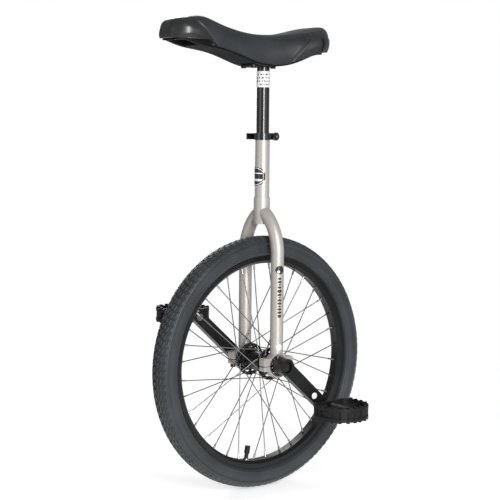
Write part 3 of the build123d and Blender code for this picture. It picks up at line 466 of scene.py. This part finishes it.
def treeOf(*names):
    # one search tree over the outer skins of several CAD nodes
    vertices, faces = [], []
    for name in names:
        mesh = cadNodes[name].data
        start = len(vertices)
        vertices += [v.co.copy() for v in mesh.vertices]
        faces += [tuple(start + i for i in polygon.vertices) for polygon in mesh.polygons]
    return BVHTree.FromPolygons(vertices, faces)


def patchOn(target, points, faces, away, lift, thick):
    # lays a flat pattern onto a surface: every point is cast along away, and the patch gets a thin wall
    top, bottom = [], []
    for start in points:
        place, normal = target.ray_cast(Vector(start), Vector(away))[:2]
        if place is None:
            place = Vector(start) + Vector(away) * 0.05
            normal = -Vector(away)
        if normal.dot(Vector(away)) > 0:
            normal = -normal
        top.append(place + normal * (lift + thick))
        bottom.append(place + normal * (lift * 0.2))
    work = bmesh.new()
    upper = [work.verts.new(v) for v in top]
    lower = [work.verts.new(v) for v in bottom]
    edges = {}
    for face in faces:
        work.faces.new([upper[i] for i in face])
        work.faces.new([lower[i] for i in reversed(face)])
        for a, b in zip(face, face[1:] + face[:1]):
            edges[(a, b)] = edges.get((a, b), 0) + 1
    for a, b in edges:
        if (b, a) not in edges:
            work.faces.new((upper[b], upper[a], lower[a], lower[b]))
    mesh = bpy.data.meshes.new("patch")
    work.to_mesh(mesh)
    work.free()
    return outward(mesh)


def discPattern(rings, corners, radius):
    # flat disc as rings of quads round a middle: (u, v) pairs and faces
    points = [(0.0, 0.0)]
    faces = []
    for ring in range(1, rings + 1):
        for corner in range(corners):
            angle = 2 * math.pi * corner / corners
            reach = radius * ring / rings
            points.append((reach * math.cos(angle), reach * math.sin(angle)))
    for corner in range(corners):
        following = (corner + 1) % corners
        faces.append((0, 1 + corner, 1 + following))
        for ring in range(rings - 1):
            a = 1 + ring * corners
            faces.append((a + corner, a + corners + corner, a + corners + following, a + following))
    return points, faces


def barPattern(width, length, middle, rounded=0.35):
    # flat bar with rounded ends as a strip of quads, longest along v
    points, faces = [], []
    steps = 8
    across = 4
    for row in range(steps + 1):
        v = -length / 2 + length * row / steps
        left = min(1.0, (length / 2 - abs(v)) / (rounded * width) + 0.35)
        for column in range(across + 1):
            u = (-width / 2 + width * column / across) * left
            points.append((middle[0] + u, middle[1] + v))
    for row in range(steps):
        for column in range(across):
            a = row * (across + 1) + column
            faces.append((a, a + 1, a + across + 2, a + across + 1))
    return points, faces


def startTree(name, inputs):
    tree = bpy.data.node_groups.new(name, "GeometryNodeTree")
    tree.interface.new_socket("Geometry", in_out="INPUT", socket_type="NodeSocketGeometry")
    for label, kind in inputs:
        tree.interface.new_socket(label, in_out="INPUT", socket_type=kind)
    tree.interface.new_socket("Geometry", in_out="OUTPUT", socket_type="NodeSocketGeometry")
    return tree, tree.nodes.new("NodeGroupInput"), tree.nodes.new("NodeGroupOutput")


def finishTree(tree, instances, entry, exitNode):
    # real geometry with its material, as the last two nodes
    link = tree.links.new
    real = tree.nodes.new("GeometryNodeRealizeInstances")
    paint = tree.nodes.new("GeometryNodeSetMaterial")
    link(instances, real.inputs[0])
    link(real.outputs[0], paint.inputs["Geometry"])
    link(entry.outputs["Material"], paint.inputs["Material"])
    link(paint.outputs[0], exitNode.inputs[0])


def growTree(seedMesh, tree, values):
    # runs the tree on a seed mesh and gives back the plain mesh
    seed = bpy.data.objects.new("seed", seedMesh)
    scene.collection.objects.link(seed)
    modifier = seed.modifiers.new("grow", "NODES")
    modifier.node_group = tree
    for item in tree.interface.items_tree:
        if item.in_out == "INPUT" and item.name in values:
            modifier[item.identifier] = values[item.name]
    graph = bpy.context.evaluated_depsgraph_get()
    mesh = bpy.data.meshes.new_from_object(seed.evaluated_get(graph), depsgraph=graph)
    seed.modifiers.remove(modifier)
    bpy.data.objects.remove(seed)
    return mesh


def roundTheAxle():
    # copies the seed round the wheel's axle
    inputs = (
        ("Count", "NodeSocketInt"), ("Axle Height", "NodeSocketFloat"), ("Material", "NodeSocketMaterial"),
    )
    tree, entry, exitNode = startTree("roundTheAxle", inputs)
    add, link = tree.nodes.new, tree.links.new
    line = add("GeometryNodeMeshLine")
    line.inputs["Offset"].default_value = (0, 0, 0)
    place = add("ShaderNodeCombineXYZ")
    spin = add("ShaderNodeCombineXYZ")
    index = add("GeometryNodeInputIndex")
    turn = reckon(tree, "DIVIDE", 2 * math.pi, entry.outputs["Count"])
    angle = reckon(tree, "MULTIPLY", index.outputs[0], turn)
    copies = add("GeometryNodeInstanceOnPoints")
    link(entry.outputs["Count"], line.inputs["Count"])
    link(entry.outputs["Axle Height"], place.inputs["Z"])
    link(place.outputs[0], line.inputs["Start Location"])
    link(angle, spin.inputs["Y"])
    link(line.outputs[0], copies.inputs["Points"])
    link(entry.outputs["Geometry"], copies.inputs["Instance"])
    link(spin.outputs[0], copies.inputs["Rotation"])
    finishTree(tree, copies.outputs[0], entry, exitNode)
    return tree


def stitchesAlong():
    # lays thread stitches end to end along the seed's edges
    inputs = (
        ("Pitch", "NodeSocketFloat"), ("Stitch Length", "NodeSocketFloat"),
        ("Thread", "NodeSocketFloat"), ("Material", "NodeSocketMaterial"),
    )
    tree, entry, exitNode = startTree("stitchesAlong", inputs)
    add, link = tree.nodes.new, tree.links.new
    curve = add("GeometryNodeMeshToCurve")
    spaced = add("GeometryNodeResampleCurve")
    spaced.mode = "LENGTH"
    tangent = add("GeometryNodeInputTangent")
    align = add("FunctionNodeAlignRotationToVector")
    align.axis = "X"
    stitch = add("GeometryNodeMeshUVSphere")
    stitch.inputs["Segments"].default_value = 8
    stitch.inputs["Rings"].default_value = 5
    stitch.inputs["Radius"].default_value = 0.5
    size = add("ShaderNodeCombineXYZ")
    copies = add("GeometryNodeInstanceOnPoints")
    link(entry.outputs["Geometry"], curve.inputs["Mesh"])
    link(curve.outputs[0], spaced.inputs["Curve"])
    link(entry.outputs["Pitch"], spaced.inputs["Length"])
    link(tangent.outputs[0], align.inputs["Vector"])
    link(entry.outputs["Stitch Length"], size.inputs["X"])
    link(entry.outputs["Thread"], size.inputs["Y"])
    link(entry.outputs["Thread"], size.inputs["Z"])
    link(spaced.outputs[0], copies.inputs["Points"])
    link(stitch.outputs["Mesh"], copies.inputs["Instance"])
    link(align.outputs[0], copies.inputs["Rotation"])
    link(size.outputs[0], copies.inputs["Scale"])
    finishTree(tree, copies.outputs[0], entry, exitNode)
    return tree


# sizes in mm; a profile is a list of (distance from the middle line, radius)
tyreSizes = {
    "axle": (0.0, 0.0, 0.248), "crown": 248.0, "crownLift": 0.6,
    "treadDepth": 1.9, "treadHalf": 20.6, "pitches": 110, "steps": 300, "slant": 38,
    # shoulder, ridge, smooth wall, bead line, and down into the rim
    "wall": (
        (21.6, 239.2), (22.4, 238.2), (22.9, 237.1), (23.55, 236.5), (24.75, 236.3), (25.15, 235.6),
        (24.7, 234.8), (23.95, 234.4), (24.1, 232.0), (24.35, 229.5), (24.45, 226.5), (24.3, 223.5),
        (23.8, 220.5), (23.0, 217.8), (22.6, 217.0), (23.15, 216.3), (22.5, 215.4), (21.4, 215.0),
        (20.6, 213.6), (19.0, 212.3), (17.2, 211.4), (15.4, 210.6), (13.4, 209.9), (12.9, 208.6),
        (12.9, 204.2), (10.2, 204.2),
    ),
    "lining": (
        (10.2, 209.0), (15.0, 212.8), (18.4, 216.5), (21.5, 222.0), (21.8, 229.0), (19.0, 238.5),
        (11.0, 242.4), (0.0, 243.0),
    ),
    # rows of blocks on each side: inner edge, outer edge, stagger and share of the pitch
    "rows": ((1.0, 6.6, 0.0, 0.72), (8.3, 13.8, 0.45, 0.70), (15.4, 20.9, 0.15, 0.66)),
}


def crownRadius(y):
    # the tread's outer radius at a distance from the middle line
    share = abs(y) / 21.4
    return tyreSizes["crown"] - 0.9 * share - 7.1 * share ** 3.1


def makeTyre(material):
    sizes = tyreSizes
    baseLift = sizes["crownLift"] - sizes["treadDepth"]
    outer = []
    for step in range(15):
        y = sizes["treadHalf"] * step / 14
        outer.append((y, crownRadius(y) + baseLift + 0.7 * max(0, step - 11) / 3))
    outer += sizes["wall"]
    inner = list(sizes["lining"])
    loop = [(y * mm, r * mm) for y, r in outer + inner]
    # runs over the crown, down the left wall, back inside, and up the right wall
    farSide = inner[::-1][1:] + outer[::-1][:-1]
    closed = loop + [(-y * mm, r * mm) for y, r in farSide]
    vertices, faces = revolveLoop(closed, sizes["steps"], sizes["axle"])
    casing = outward(meshFrom("tyreCasing", vertices, faces))
    tyre = addPiece("tyreCasing", casing, "wheel", material)
    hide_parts("tyre")

    # one pitch of tread: slanted blocks in three rows each side, staggered
    pitch = 2 * math.pi * sizes["crown"] / sizes["pitches"]
    slant = math.tan(math.radians(sizes["slant"]))
    depth = sizes["treadDepth"]
    vertices, faces = [], []
    for side, offset in ((1, 0.0), (-1, 0.5)):
        for low, high, stagger, share in sizes["rows"]:
            block = []
            for rise, inset in ((-0.9, -0.35), (depth * 0.72, 0.1), (depth, 0.55)):
                for end, y in ((-1, low + inset), (1, low + inset), (1, high - inset), (-1, high - inset)):
                    along = (stagger + offset) * pitch + slant * y + end * (pitch * share / 2 - inset)
                    angle = along / sizes["crown"]
                    radius = (crownRadius(y) + baseLift + rise) * mm
                    block.append((radius * math.cos(angle), side * y * mm, radius * math.sin(angle)))
            start = len(vertices)
            vertices += block
            for ring in (0, 4):
                for corner in range(4):
                    a, b = start + ring + corner, start + ring + (corner + 1) % 4
                    faces.append((a, b, b + 4, a + 4))
            faces.append((start + 8, start + 9, start + 10, start + 11))
            faces.append((start + 3, start + 2, start + 1, start))
    seed = outward(meshFrom("treadPitch", vertices, faces))
    values = {"Count": sizes["pitches"], "Axle Height": sizes["axle"][2], "Material": material}
    mesh = growTree(seed, roundTheAxle(), values)
    addPiece("tyreTread", mesh, "wheel", material, smooth=False)


saddle = {
    "seat": 824.0, "lean": 45.0, "seamX": 167.0, "seamZ": 882.0,
    "rearX": -92.0, "rearZ": 881.0,
    "rings": 118, "around": 92, "under": 17,
    "above": 990.0, "shrink": 1.6, "swell": 4.0, "hidden": 3.4,
    "pressure": 4.0, "frames": 20,
}
# distance forward, half width, and underside above the seat plate, in mm
saddleStations = (
    (-131, 44, 35), (-122, 55, 31), (-100, 72, 29.5), (-60, 68, 19), (-15, 54, 5), (35, 45, 6.5),
    (85, 42, 21), (135, 43, 32), (165, 44, 36), (200, 42, 44.5), (219, 31, 45.5), (230, 20, 47),
)


def stationValue(x, column):
    # smooth curve through the stations
    xs = [row[0] for row in saddleStations]
    ys = [row[column] for row in saddleStations]
    x = min(max(x, xs[0]), xs[-1])
    index = max(0, min(len(xs) - 2, int(np.searchsorted(xs, x) - 1)))
    slopes = []
    for k in (index, index + 1):
        a, b = max(k - 1, 0), min(k + 1, len(xs) - 1)
        slopes.append((ys[b] - ys[a]) / (xs[b] - xs[a]))
    span = xs[index + 1] - xs[index]
    t = (x - xs[index]) / span
    start, leave = 2 * t ** 3 - 3 * t ** 2 + 1, t ** 3 - 2 * t ** 2 + t
    end, arrive = -2 * t ** 3 + 3 * t ** 2, t ** 3 - t ** 2
    return start * ys[index] + leave * span * slopes[0] + end * ys[index + 1] + arrive * span * slopes[1]


def smoothStep(value, low, high):
    t = min(max((value - low) / (high - low), 0.0), 1.0)
    return t * t * (3 - 2 * t)


def ringPlane(x):
    # each ring's lean: upright over the back and middle, leaning to the front seam's angle
    lean = math.radians(saddle["lean"]) * smoothStep(x, 40, saddle["seamX"])
    return math.tan(lean)


def rimPoint(x, side):
    # where the padding's edge tucks under, on the leaning ring
    lean = ringPlane(x)
    at = x
    for repeat in range(4):
        height = saddle["seat"] + stationValue(at, 2)
        at = x + (height - saddle["seamZ"]) * lean
    return at, side * (0.8 * stationValue(at, 1) + 3), height


def saddleRing(skin, x, shrink):
    # one closed ring of the padded body: over the top by rays, then tucked under
    lean = ringPlane(x)
    rimX, rimY, rimZ = rimPoint(x, 1)
    above = saddle["above"]
    origin = Vector((x + (above - saddle["seamZ"]) * lean, 0, above)) * mm
    top = skin.ray_cast(origin, Vector((-lean, 0, -1)).normalized())[0]
    topZ = top.z / mm if top else rimZ + 40
    middleZ = rimZ + 0.32 * (topZ - rimZ)
    upward = Vector((lean, 0, 1)).normalized()
    across = Vector((0, 1, 0))
    centre = Vector((x + (middleZ - saddle["seamZ"]) * lean, 0, middleZ))
    low = math.atan2((rimZ - middleZ) / upward.z, rimY)
    points = []
    for step in range(saddle["around"]):
        angle = low + (math.pi - 2 * low) * step / (saddle["around"] - 1)
        way = across * math.cos(angle) + upward * math.sin(angle)
        hit = skin.ray_cast((centre + way * 160) * mm, -way)[0]
        reach = (hit / mm - centre).length if hit is not None else 999
        points.append((reach if reach < 110 else None, way))
    known = [i for i, (reach, way) in enumerate(points) if reach is not None]
    reaches = np.full(len(points), 20.0)
    if known:
        reaches = np.interp(range(len(points)), known, [points[i][0] for i in known])
    ring = []
    seamSlope = math.tan(math.radians(saddle["lean"]))
    for (reach, way), distance in zip(points, reaches):
        place = centre + way * distance
        hidden = place.x < saddle["rearX"] + 1 and place.z < saddle["rearZ"] + 1
        hidden = hidden or place.x - saddle["seamX"] > (place.z - saddle["seamZ"]) * seamSlope - 0.5
        ring.append((centre + way * (distance - (saddle["hidden"] if hidden else shrink)), hidden))
    inward = 0.8 * stationValue(rimX, 1) + 1.0
    tuckZ = rimZ + 6.5
    for step in range(saddle["under"]):
        share = -1 + 2 * step / (saddle["under"] - 1)
        y = share * inward
        z = rimZ + 1.0 if abs(share) == 1 else tuckZ
        ring.append((Vector((x + (z - saddle["seamZ"]) * lean, y, z)), True))
    return ring


def makeSkinMesh():
    skin = treeOf("saddle_cover", "front_bumper", "rear_bumper")
    first, last = -130.2, saddle["seamX"] + 7
    spots = [first + (last - first) * i / (saddle["rings"] - 1) for i in range(saddle["rings"])]
    rings = [saddleRing(skin, x, saddle["shrink"]) for x in spots]
    vertices, held = [], []
    perRing = len(rings[0])
    for ring in rings:
        for place, hidden in ring:
            vertices.append(place * mm)
            held.append(hidden)
    faces = []
    for i in range(len(rings) - 1):
        for j in range(perRing):
            k = (j + 1) % perRing
            faces.append((i * perRing + j, i * perRing + k, (i + 1) * perRing + k, (i + 1) * perRing + j))
    # both ends close over rings that shrink to a middle point
    for end, push in ((0, -1.2), (len(rings) - 1, 1.5)):
        base = [v / mm for v in vertices[end * perRing:(end + 1) * perRing]]
        middle = sum(base, Vector()) / perRing
        last = [end * perRing + j for j in range(perRing)]
        for share, bulge in ((0.93, 0.7), (0.8, 1.0), (0.6, 1.0), (0.35, 1.0), (0.15, 1.0)):
            fresh = []
            for place in base:
                spot = middle + (place - middle) * share + Vector((push * bulge, 0, 0))
                fresh.append(len(vertices))
                vertices.append(spot * mm)
                held.append(True)
            for j in range(perRing):
                k = (j + 1) % perRing
                faces.append((last[j], last[k], fresh[k], fresh[j]))
            last = fresh
        vertices.append((middle + Vector((push, 0, 0))) * mm)
        held.append(True)
        for j in range(perRing):
            faces.append((last[j], last[(j + 1) % perRing], len(vertices) - 1))
    mesh = meshFrom("saddleSkin", vertices, faces)
    work = bmesh.new()
    work.from_mesh(mesh)
    bmesh.ops.recalc_face_normals(work, faces=work.faces)
    work.to_mesh(mesh)
    work.free()
    return mesh, held


def seamPaths():
    # sewn lines on the padding, each a list of rough points that are dropped onto the skin later
    paths = {}
    for name, side in (("left", 1), ("right", -1)):
        across = []
        for t in np.linspace(0, 1, 26):
            x = -77 + 52 * t ** 0.8
            z = 892 - 66 * t
            across.append(Vector((x, side * 120, z)))
        paths[name] = across
    return paths


def dropOnSkin(tree, path, side):
    places = []
    for point in path:
        hit = tree.ray_cast(point * mm, Vector((0, -side, 0)))[0]
        if hit is not None:
            places.append(hit)
    return places


def topEdgePath(tree, side):
    # the line where the top panel turns over into the side panel
    places = []
    for x in np.linspace(-118, 168, 90):
        wide = 0.80 * stationValue(x, 1)
        hit = tree.ray_cast(Vector((x, side * wide, 990)) * mm, Vector((0, 0, -1)))[0]
        if hit is not None:
            places.append(hit)
    return places


def swellCloth(piece, held, cap):
    # pressure from inside swells the free vinyl between its held lines
    start = np.array([v.co for v in piece.data.vertices])
    pins = piece.vertex_groups.new(name="held")
    for index, tight in enumerate(held):
        if tight > 0:
            pins.add([index], tight, "REPLACE")
    cloth = piece.modifiers.new("swell", "CLOTH")
    settings = cloth.settings
    settings.quality = 5
    settings.mass = 0.25
    settings.tension_stiffness = 18
    settings.compression_stiffness = 18
    settings.shear_stiffness = 8
    settings.bending_stiffness = 1.2
    settings.use_pressure = True
    settings.uniform_pressure_force = saddle["pressure"]
    settings.effector_weights.gravity = 0
    settings.vertex_group_mass = "held"
    cloth.collision_settings.use_collision = False
    cloth.point_cache.frame_start = 1
    cloth.point_cache.frame_end = saddle["frames"]
    for step in range(1, saddle["frames"] + 1):
        scene.frame_set(step)
    graph = bpy.context.evaluated_depsgraph_get()
    swollen = piece.evaluated_get(graph).data
    end = np.array([v.co for v in swollen.vertices])
    piece.modifiers.remove(cloth)
    scene.frame_set(1)
    move = end - start
    length = np.linalg.norm(move, axis=1)
    share = np.minimum(1.0, cap / np.maximum(length, 1e-9))
    final = start + move * share[:, None]
    piece.data.vertices.foreach_set("co", final.astype(np.float32).ravel())
    piece.data.update()
    largest, mean = float(length.max()) / mm, float(length.mean()) / mm
    print("swell in mm: largest", round(largest, 2), "mean", round(mean, 2))


def distanceTo(path, points):
    # nearest distance from each point to a polyline
    best = np.full(len(points), 9.0)
    for a, b in zip(path[:-1], path[1:]):
        a, b = np.array(a), np.array(b)
        along = b - a
        t = np.clip(((points - a) @ along) / max(along @ along, 1e-12), 0, 1)
        best = np.minimum(best, np.linalg.norm(points - (a + t[:, None] * along), axis=1))
    return best


def makeSaddle(vinyl, thread, gloss):
    mesh, held = makeSkinMesh()
    piece = bpy.data.objects.new("saddleSkin", mesh)
    scene.collection.objects.link(piece)
    points = np.array([v.co for v in mesh.vertices])
    shape = BVHTree.FromObject(piece, bpy.context.evaluated_depsgraph_get())
    rough = seamPaths()
    seams = []
    for name, side in (("left", 1), ("right", -1)):
        seams.append(("rear_" + name, side, dropOnSkin(shape, rough[name], side), 1.5, 0.0016))
        seams.append(("top_" + name, side, topEdgePath(shape, side), 0.7, 0.0022))
    tight = np.array([1.0 if flag else 0.0 for flag in held])
    for name, side, path, depth, width in seams:
        near = distanceTo(path, points)
        strength = 1.0 if name.startswith("rear") else 0.75
        tight = np.maximum(tight, strength * np.clip(1.6 - near / 0.0025, 0, 1))
    swellCloth(piece, tight, saddle["swell"] * mm)
    bpy.context.view_layer.objects.active = piece
    finer = piece.modifiers.new("finer", "SUBSURF")
    finer.levels = 1
    finer.render_levels = 1
    graph = bpy.context.evaluated_depsgraph_get()
    smooth = bpy.data.meshes.new_from_object(piece.evaluated_get(graph), depsgraph=graph)
    piece.modifiers.remove(finer)
    piece.data = smooth
    # sewn lines are pressed in after the swelling, with the vinyl puffing beside them
    smooth.update()
    points = np.array([v.co for v in smooth.vertices])
    normals = np.array([v.normal for v in smooth.vertices])
    fresh = BVHTree.FromObject(piece, bpy.context.evaluated_depsgraph_get())
    press = np.zeros(len(points))
    lines = {}
    for name, side, path, depth, width in seams:
        path = [fresh.find_nearest(p)[0] for p in path]
        near = distanceTo(path, points)
        press -= depth * mm * np.exp(-(near / width) ** 2)
        press += 0.35 * depth * mm * np.exp(-((near - 2.6 * width) / (1.4 * width)) ** 2)
        lines[name] = (side, path)
    # the padding dips where the front bumper's edge presses on it
    lean = math.radians(saddle["lean"])
    forward, up = points[:, 0] - saddle["seamX"] * mm, points[:, 2] - saddle["seamZ"] * mm
    past = forward * math.cos(lean) - up * math.sin(lean)
    press -= 2.2 * mm * np.exp(-((past + 0.6 * mm) / (3.2 * mm)) ** 2)
    points = points + normals * press[:, None]
    smooth.vertices.foreach_set("co", points.astype(np.float32).ravel())
    smooth.update()
    bpy.data.objects.remove(piece)
    skin = addPiece("saddleSkin", smooth, "saddle", vinyl)
    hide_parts("saddle_cover", "saddle_foam")
    final = BVHTree.FromObject(skin, bpy.context.evaluated_depsgraph_get())

    # thread beside the seams
    stitchTree = stitchesAlong()
    vertices, edges = [], []
    for name, (side, path) in lines.items():
        for shift in ((-1.6, 1.6) if name.startswith("rear") else (2.4,)):
            start = len(vertices)
            for index, place in enumerate(path):
                ahead = (path[min(index + 1, len(path) - 1)] - path[max(index - 1, 0)]).normalized()
                near, normal = final.find_nearest(place)[:2]
                beside = near + ahead.cross(normal) * shift * mm * side
                near, normal = final.find_nearest(beside)[:2]
                vertices.append(near + normal * 0.12 * mm)
            edges += [(i, i + 1) for i in range(start, len(vertices) - 1)]
    seed = bpy.data.meshes.new("seamLines")
    seed.from_pydata([tuple(v) for v in vertices], edges, [])
    values = {"Pitch": 3.2 * mm, "Stitch Length": 2.5 * mm, "Thread": 0.6 * mm, "Material": thread}
    mesh = growTree(seed, stitchTree, values)
    addPiece("saddleStitches", mesh, "saddle", thread)

    # piping round the padding's lower edge
    for name, side in (("left", 1), ("right", -1)):
        path = []
        for x in np.linspace(-96, 166, 90):
            at, y, z = rimPoint(x, side)
            hit = final.ray_cast(Vector((at, side * 120, z + 1.6)) * mm, Vector((0, -side, 0)))[0]
            edgeY = abs(hit.y) / mm if hit is not None else abs(y) + 2
            path.append(Vector((at, side * (edgeY - 0.2), z + 0.9)) * mm)
        vertices, faces = sweepTube(path, 0.9 * mm, 8)
        cordMesh = outward(meshFrom("piping", vertices, faces))
        piping = addPiece("saddlePiping_" + name, cordMesh, "saddle", vinyl)

    # a welted edge along the front bumper's floor line
    bumper = treeOf("front_bumper")
    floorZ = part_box("front_bumper")[0].z
    edge = []
    for angle in np.linspace(-100, 100, 120):
        way = Vector((math.cos(math.radians(angle)), math.sin(math.radians(angle)), 0))
        origin = Vector((0.186, 0, floorZ + 0.0012))
        hit = bumper.ray_cast(origin + way * 0.12, -way)[0]
        if hit is not None and (hit - origin).length > 0.02:
            edge.append(hit + way * 0.0001)
    vertices, faces = sweepTube(edge, 0.9 * mm, 8)
    welt = outward(meshFrom("bumperWelt", vertices, faces))
    addPiece("bumperWelt", welt, "saddle", gloss)


# sizes in mm, heights from the floor; facing is the way round the leg, in degrees
markSizes = {
    "facing": 74, "dot": 8.3, "dotHeight": 434.5, "heart": 3.0, "heartHeight": 431, "heartShift": -2.5,
    "barTop": 420.0, "barGap": 1.7, "barWidth": 9.0, "shortWidth": 7.0,
    "bars": (4.6, 4.6, 2.4, 4.6, 6.6, 4.6, 2.4, 4.6, 4.6, 3.2, 4.6, 4.6, 6.0),
    "sticker": 6.4, "legSticker": 284.2, "crankSticker": (-65, 140, 186),
}


def stick(name, target, cast, faces, away, ink, lift=0.05, thick=0.12, body="frame"):
    patch = patchOn(target, cast, faces, away, lift * mm, thick * mm)
    addPiece(name, patch, body, ink)


def makeMarks(inks):
    sizes = markSizes
    leg = treeOf("left_fork_leg")
    turn = math.radians(sizes["facing"])
    facing = Vector((math.cos(turn), math.sin(turn), 0))
    beside = Vector((-facing.y, facing.x, 0))

    def castOnLeg(points, z):
        return [Vector((0, 0.05, z * mm + v)) + facing * 0.07 + beside * u for u, v in points]

    # a dot with plain bars under it, all cast onto the tube from outside
    points, faces = discPattern(5, 28, sizes["dot"] * mm)
    stick("legDot", leg, castOnLeg(points, sizes["dotHeight"]), faces, -facing, inks["black"])
    points, faces = discPattern(3, 24, sizes["heart"] * mm)
    points = [(u + sizes["heartShift"] * mm, v) for u, v in points]
    cast = castOnLeg(points, sizes["heartHeight"])
    stick("legDotHeart", leg, cast, faces, -facing, inks["white"], lift=0.2, thick=0.1)
    work = bmesh.new()
    z = sizes["barTop"]
    for index, length in enumerate(sizes["bars"]):
        width = sizes["barWidth"] if index % 3 else sizes["shortWidth"]
        points, faces = barPattern(width * mm, length * mm, (0.0, (z - length / 2) * mm))
        strip = patchOn(leg, castOnLeg(points, 0), faces, -facing, 0.05 * mm, 0.1 * mm)
        work.from_mesh(strip)
        z -= length + sizes["barGap"]
    mesh = bpy.data.meshes.new("legBars")
    work.to_mesh(mesh)
    work.free()
    addPiece("legBars", mesh, "frame", inks["black"])
    # two round white stickers
    points, faces = discPattern(4, 28, sizes["sticker"] * mm)
    stick("legSticker", leg, castOnLeg(points, sizes["legSticker"]), faces, -facing, inks["white"])
    x, y, z = [value * mm for value in sizes["crankSticker"]]
    cast = [(u + x, y, z + v) for u, v in points]
    crank = treeOf("left_crank")
    stick("crankSticker", crank, cast, faces, (0, -1, 0), inks["white"], thick=0.15, body="wheel")


labelSizes = {
    "low": 785.5, "high": 816.5, "radius": 12.7, "thick": 0.12, "corners": 96,
    "rows": 4, "firstRow": 6.5, "rowPitch": 6.4,
    "widths": (9, 15, 11, 20, 7), "heights": (3.2, 2.6, 3.2, 3.0),
}


def roundPoint(radius, degrees, z):
    angle = math.radians(degrees)
    return (radius * math.cos(angle), radius * math.sin(angle), z * mm)


def makeLabel(inks):
    sizes = labelSizes
    radius = sizes["radius"] + sizes["thick"]
    skirt = sizes["radius"] + 0.01
    corners = sizes["corners"]
    vertices = []
    low, high = sizes["low"], sizes["high"]
    for z, r in ((low, skirt), (low, radius), (high, radius), (high, skirt)):
        vertices += [roundPoint(r * mm, 360 * k / corners, z) for k in range(corners)]
    faces = []
    for i in range(4):
        j = (i + 1) % 4
        for k in range(corners):
            n = (k + 1) % corners
            faces.append((i * corners + k, i * corners + n, j * corners + n, j * corners + k))
    sleeve = outward(meshFrom("postLabel", vertices, faces))
    addPiece("postLabel", sleeve, "saddle", inks["white"], smooth=False)
    # rows of short bars round the label, curved with it
    work = bmesh.new()
    inkRadius = (radius + 0.06) * mm
    innerRadius = (radius - 0.03) * mm
    for row in range(sizes["rows"]):
        z = sizes["high"] - sizes["firstRow"] - sizes["rowPitch"] * row
        angle = 4.0 + 7.0 * row
        index = 0
        while angle < 346:
            wide = sizes["widths"][(index + 2 * row) % 5]
            high = sizes["heights"][(index + row) % 4]
            edges = []
            steps = max(2, wide // 4)
            for r in (inkRadius, innerRadius):
                for dz in (-high / 2, high / 2):
                    spots = [roundPoint(r, angle + wide * s / steps, z + dz) for s in range(steps + 1)]
                    edges.append([work.verts.new(spot) for spot in spots])
            low, top, lowIn, highIn = edges
            for s in range(steps):
                work.faces.new((low[s], low[s + 1], top[s + 1], top[s]))
                work.faces.new((lowIn[s + 1], lowIn[s], highIn[s], highIn[s + 1]))
                work.faces.new((low[s + 1], low[s], lowIn[s], lowIn[s + 1]))
                work.faces.new((top[s], top[s + 1], highIn[s + 1], highIn[s]))
            work.faces.new((low[0], top[0], highIn[0], lowIn[0]))
            work.faces.new((top[-1], low[-1], lowIn[-1], highIn[-1]))
            angle += wide + (9 if index % 3 else 16)
            index += 1
    mesh = bpy.data.meshes.new("labelBars")
    work.to_mesh(mesh)
    work.free()
    addPiece("labelBars", outward(mesh), "saddle", inks["grey"], smooth=False)


finishFor = {
    "rim_alloy": "satinBlackAlloy", "tape_cloth": "tapeCloth", "tube_rubber": "tubeRubber",
    "tyre_rubber": "tyreRubber", "spoke_steel": "spokeSteel", "nipple_brass": "brightSteel",
    "hub_alloy": "forgedBlack", "axle_steel": "turnedSteel", "bearing_steel": "turnedSteel",
    "frame_paint": "silverPaint", "black_bolt": "darkBolt", "crank_black": "forgedBlack",
    "pedal_plastic": "mouldedBlack", "bush_plastic": "bushPlastic", "post_black": "blackGlossPaint",
    "clamp_black": "blackGlossPaint", "badge_print": "emblemPrint", "saddle_fabric": "saddleVinyl",
    "foam": "foamFill", "base_plastic": "baseBlack", "bumper_plastic": "glossMoulded",
    "plate_steel": "darkBolt", "valve_rubber": "mouldedBlack", "valve_chrome": "brightSteel",
}


def dressNodes(made):
    # each carried-over node gets the finish of its own slot
    for node in cadNodes.values():
        for index, material in enumerate(node.data.materials):
            slotName = material.name.split(".")[0]
            node.data.materials[index] = made[finishFor[slotName]]


def layFloor():
    # a pale round sweep that fades into the white surround
    points, faces = discPattern(12, 96, 2.2)
    mesh = meshFrom("floor", [(x, y, -0.0009) for x, y in points], faces)
    material, tree, shader = startMaterial("paleFloor", {"Roughness": 0.6, "Specular IOR Level": 0.2})
    point = objectPoint(tree)
    tones = ramp(tree, cloud(tree, point, 3, 3), ((0.3, gray(0.93)), (0.7, gray(0.95))))
    tree.links.new(tones, shader.inputs["Base Color"])
    distance = tree.nodes.new("ShaderNodeVectorMath")
    distance.operation = "LENGTH"
    tree.links.new(point, distance.inputs[0])
    fade = spread(tree, distance.outputs["Value"], 1.0, 0.0, 0.45, 1.5)
    tree.links.new(fade, shader.inputs["Alpha"])
    shader.inputs["Emission Color"].default_value = gray(1)
    shader.inputs["Emission Strength"].default_value = 0.42
    floor = bpy.data.objects.new("floor", mesh)
    mesh.materials.append(material)
    scene.collection.objects.link(floor)


placeCamera()
placeLights()
paintSky()
scene.view_settings.view_transform = "Standard"
scene.view_settings.look = "None"
print("camera and lights placed")

made = {name: mixedFinish(name, look) for name, look in finishes.items()}
made["silverPaint"] = silverPaint()
made["tyreRubber"] = tyreRubber()
made["saddleVinyl"] = saddleVinyl()
badgeLow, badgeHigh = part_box("head_badge")
made["emblemPrint"] = emblemPrint((0, 0, (badgeLow.z + badgeHigh.z) / 2), (badgeHigh.z - badgeLow.z) / 2)
inks = {"black": made["blackInk"], "grey": made["greyInk"], "white": made["whiteVinyl"]}
dressNodes(made)
print("materials made:", len(made))

layFloor()
makeTyre(made["tyreRubber"])
print("tyre done")
makeSaddle(made["saddleVinyl"], made["threadBlack"], made["glossMoulded"])
print("saddle done")
makeMarks(inks)
makeLabel(inks)
print("marks done")
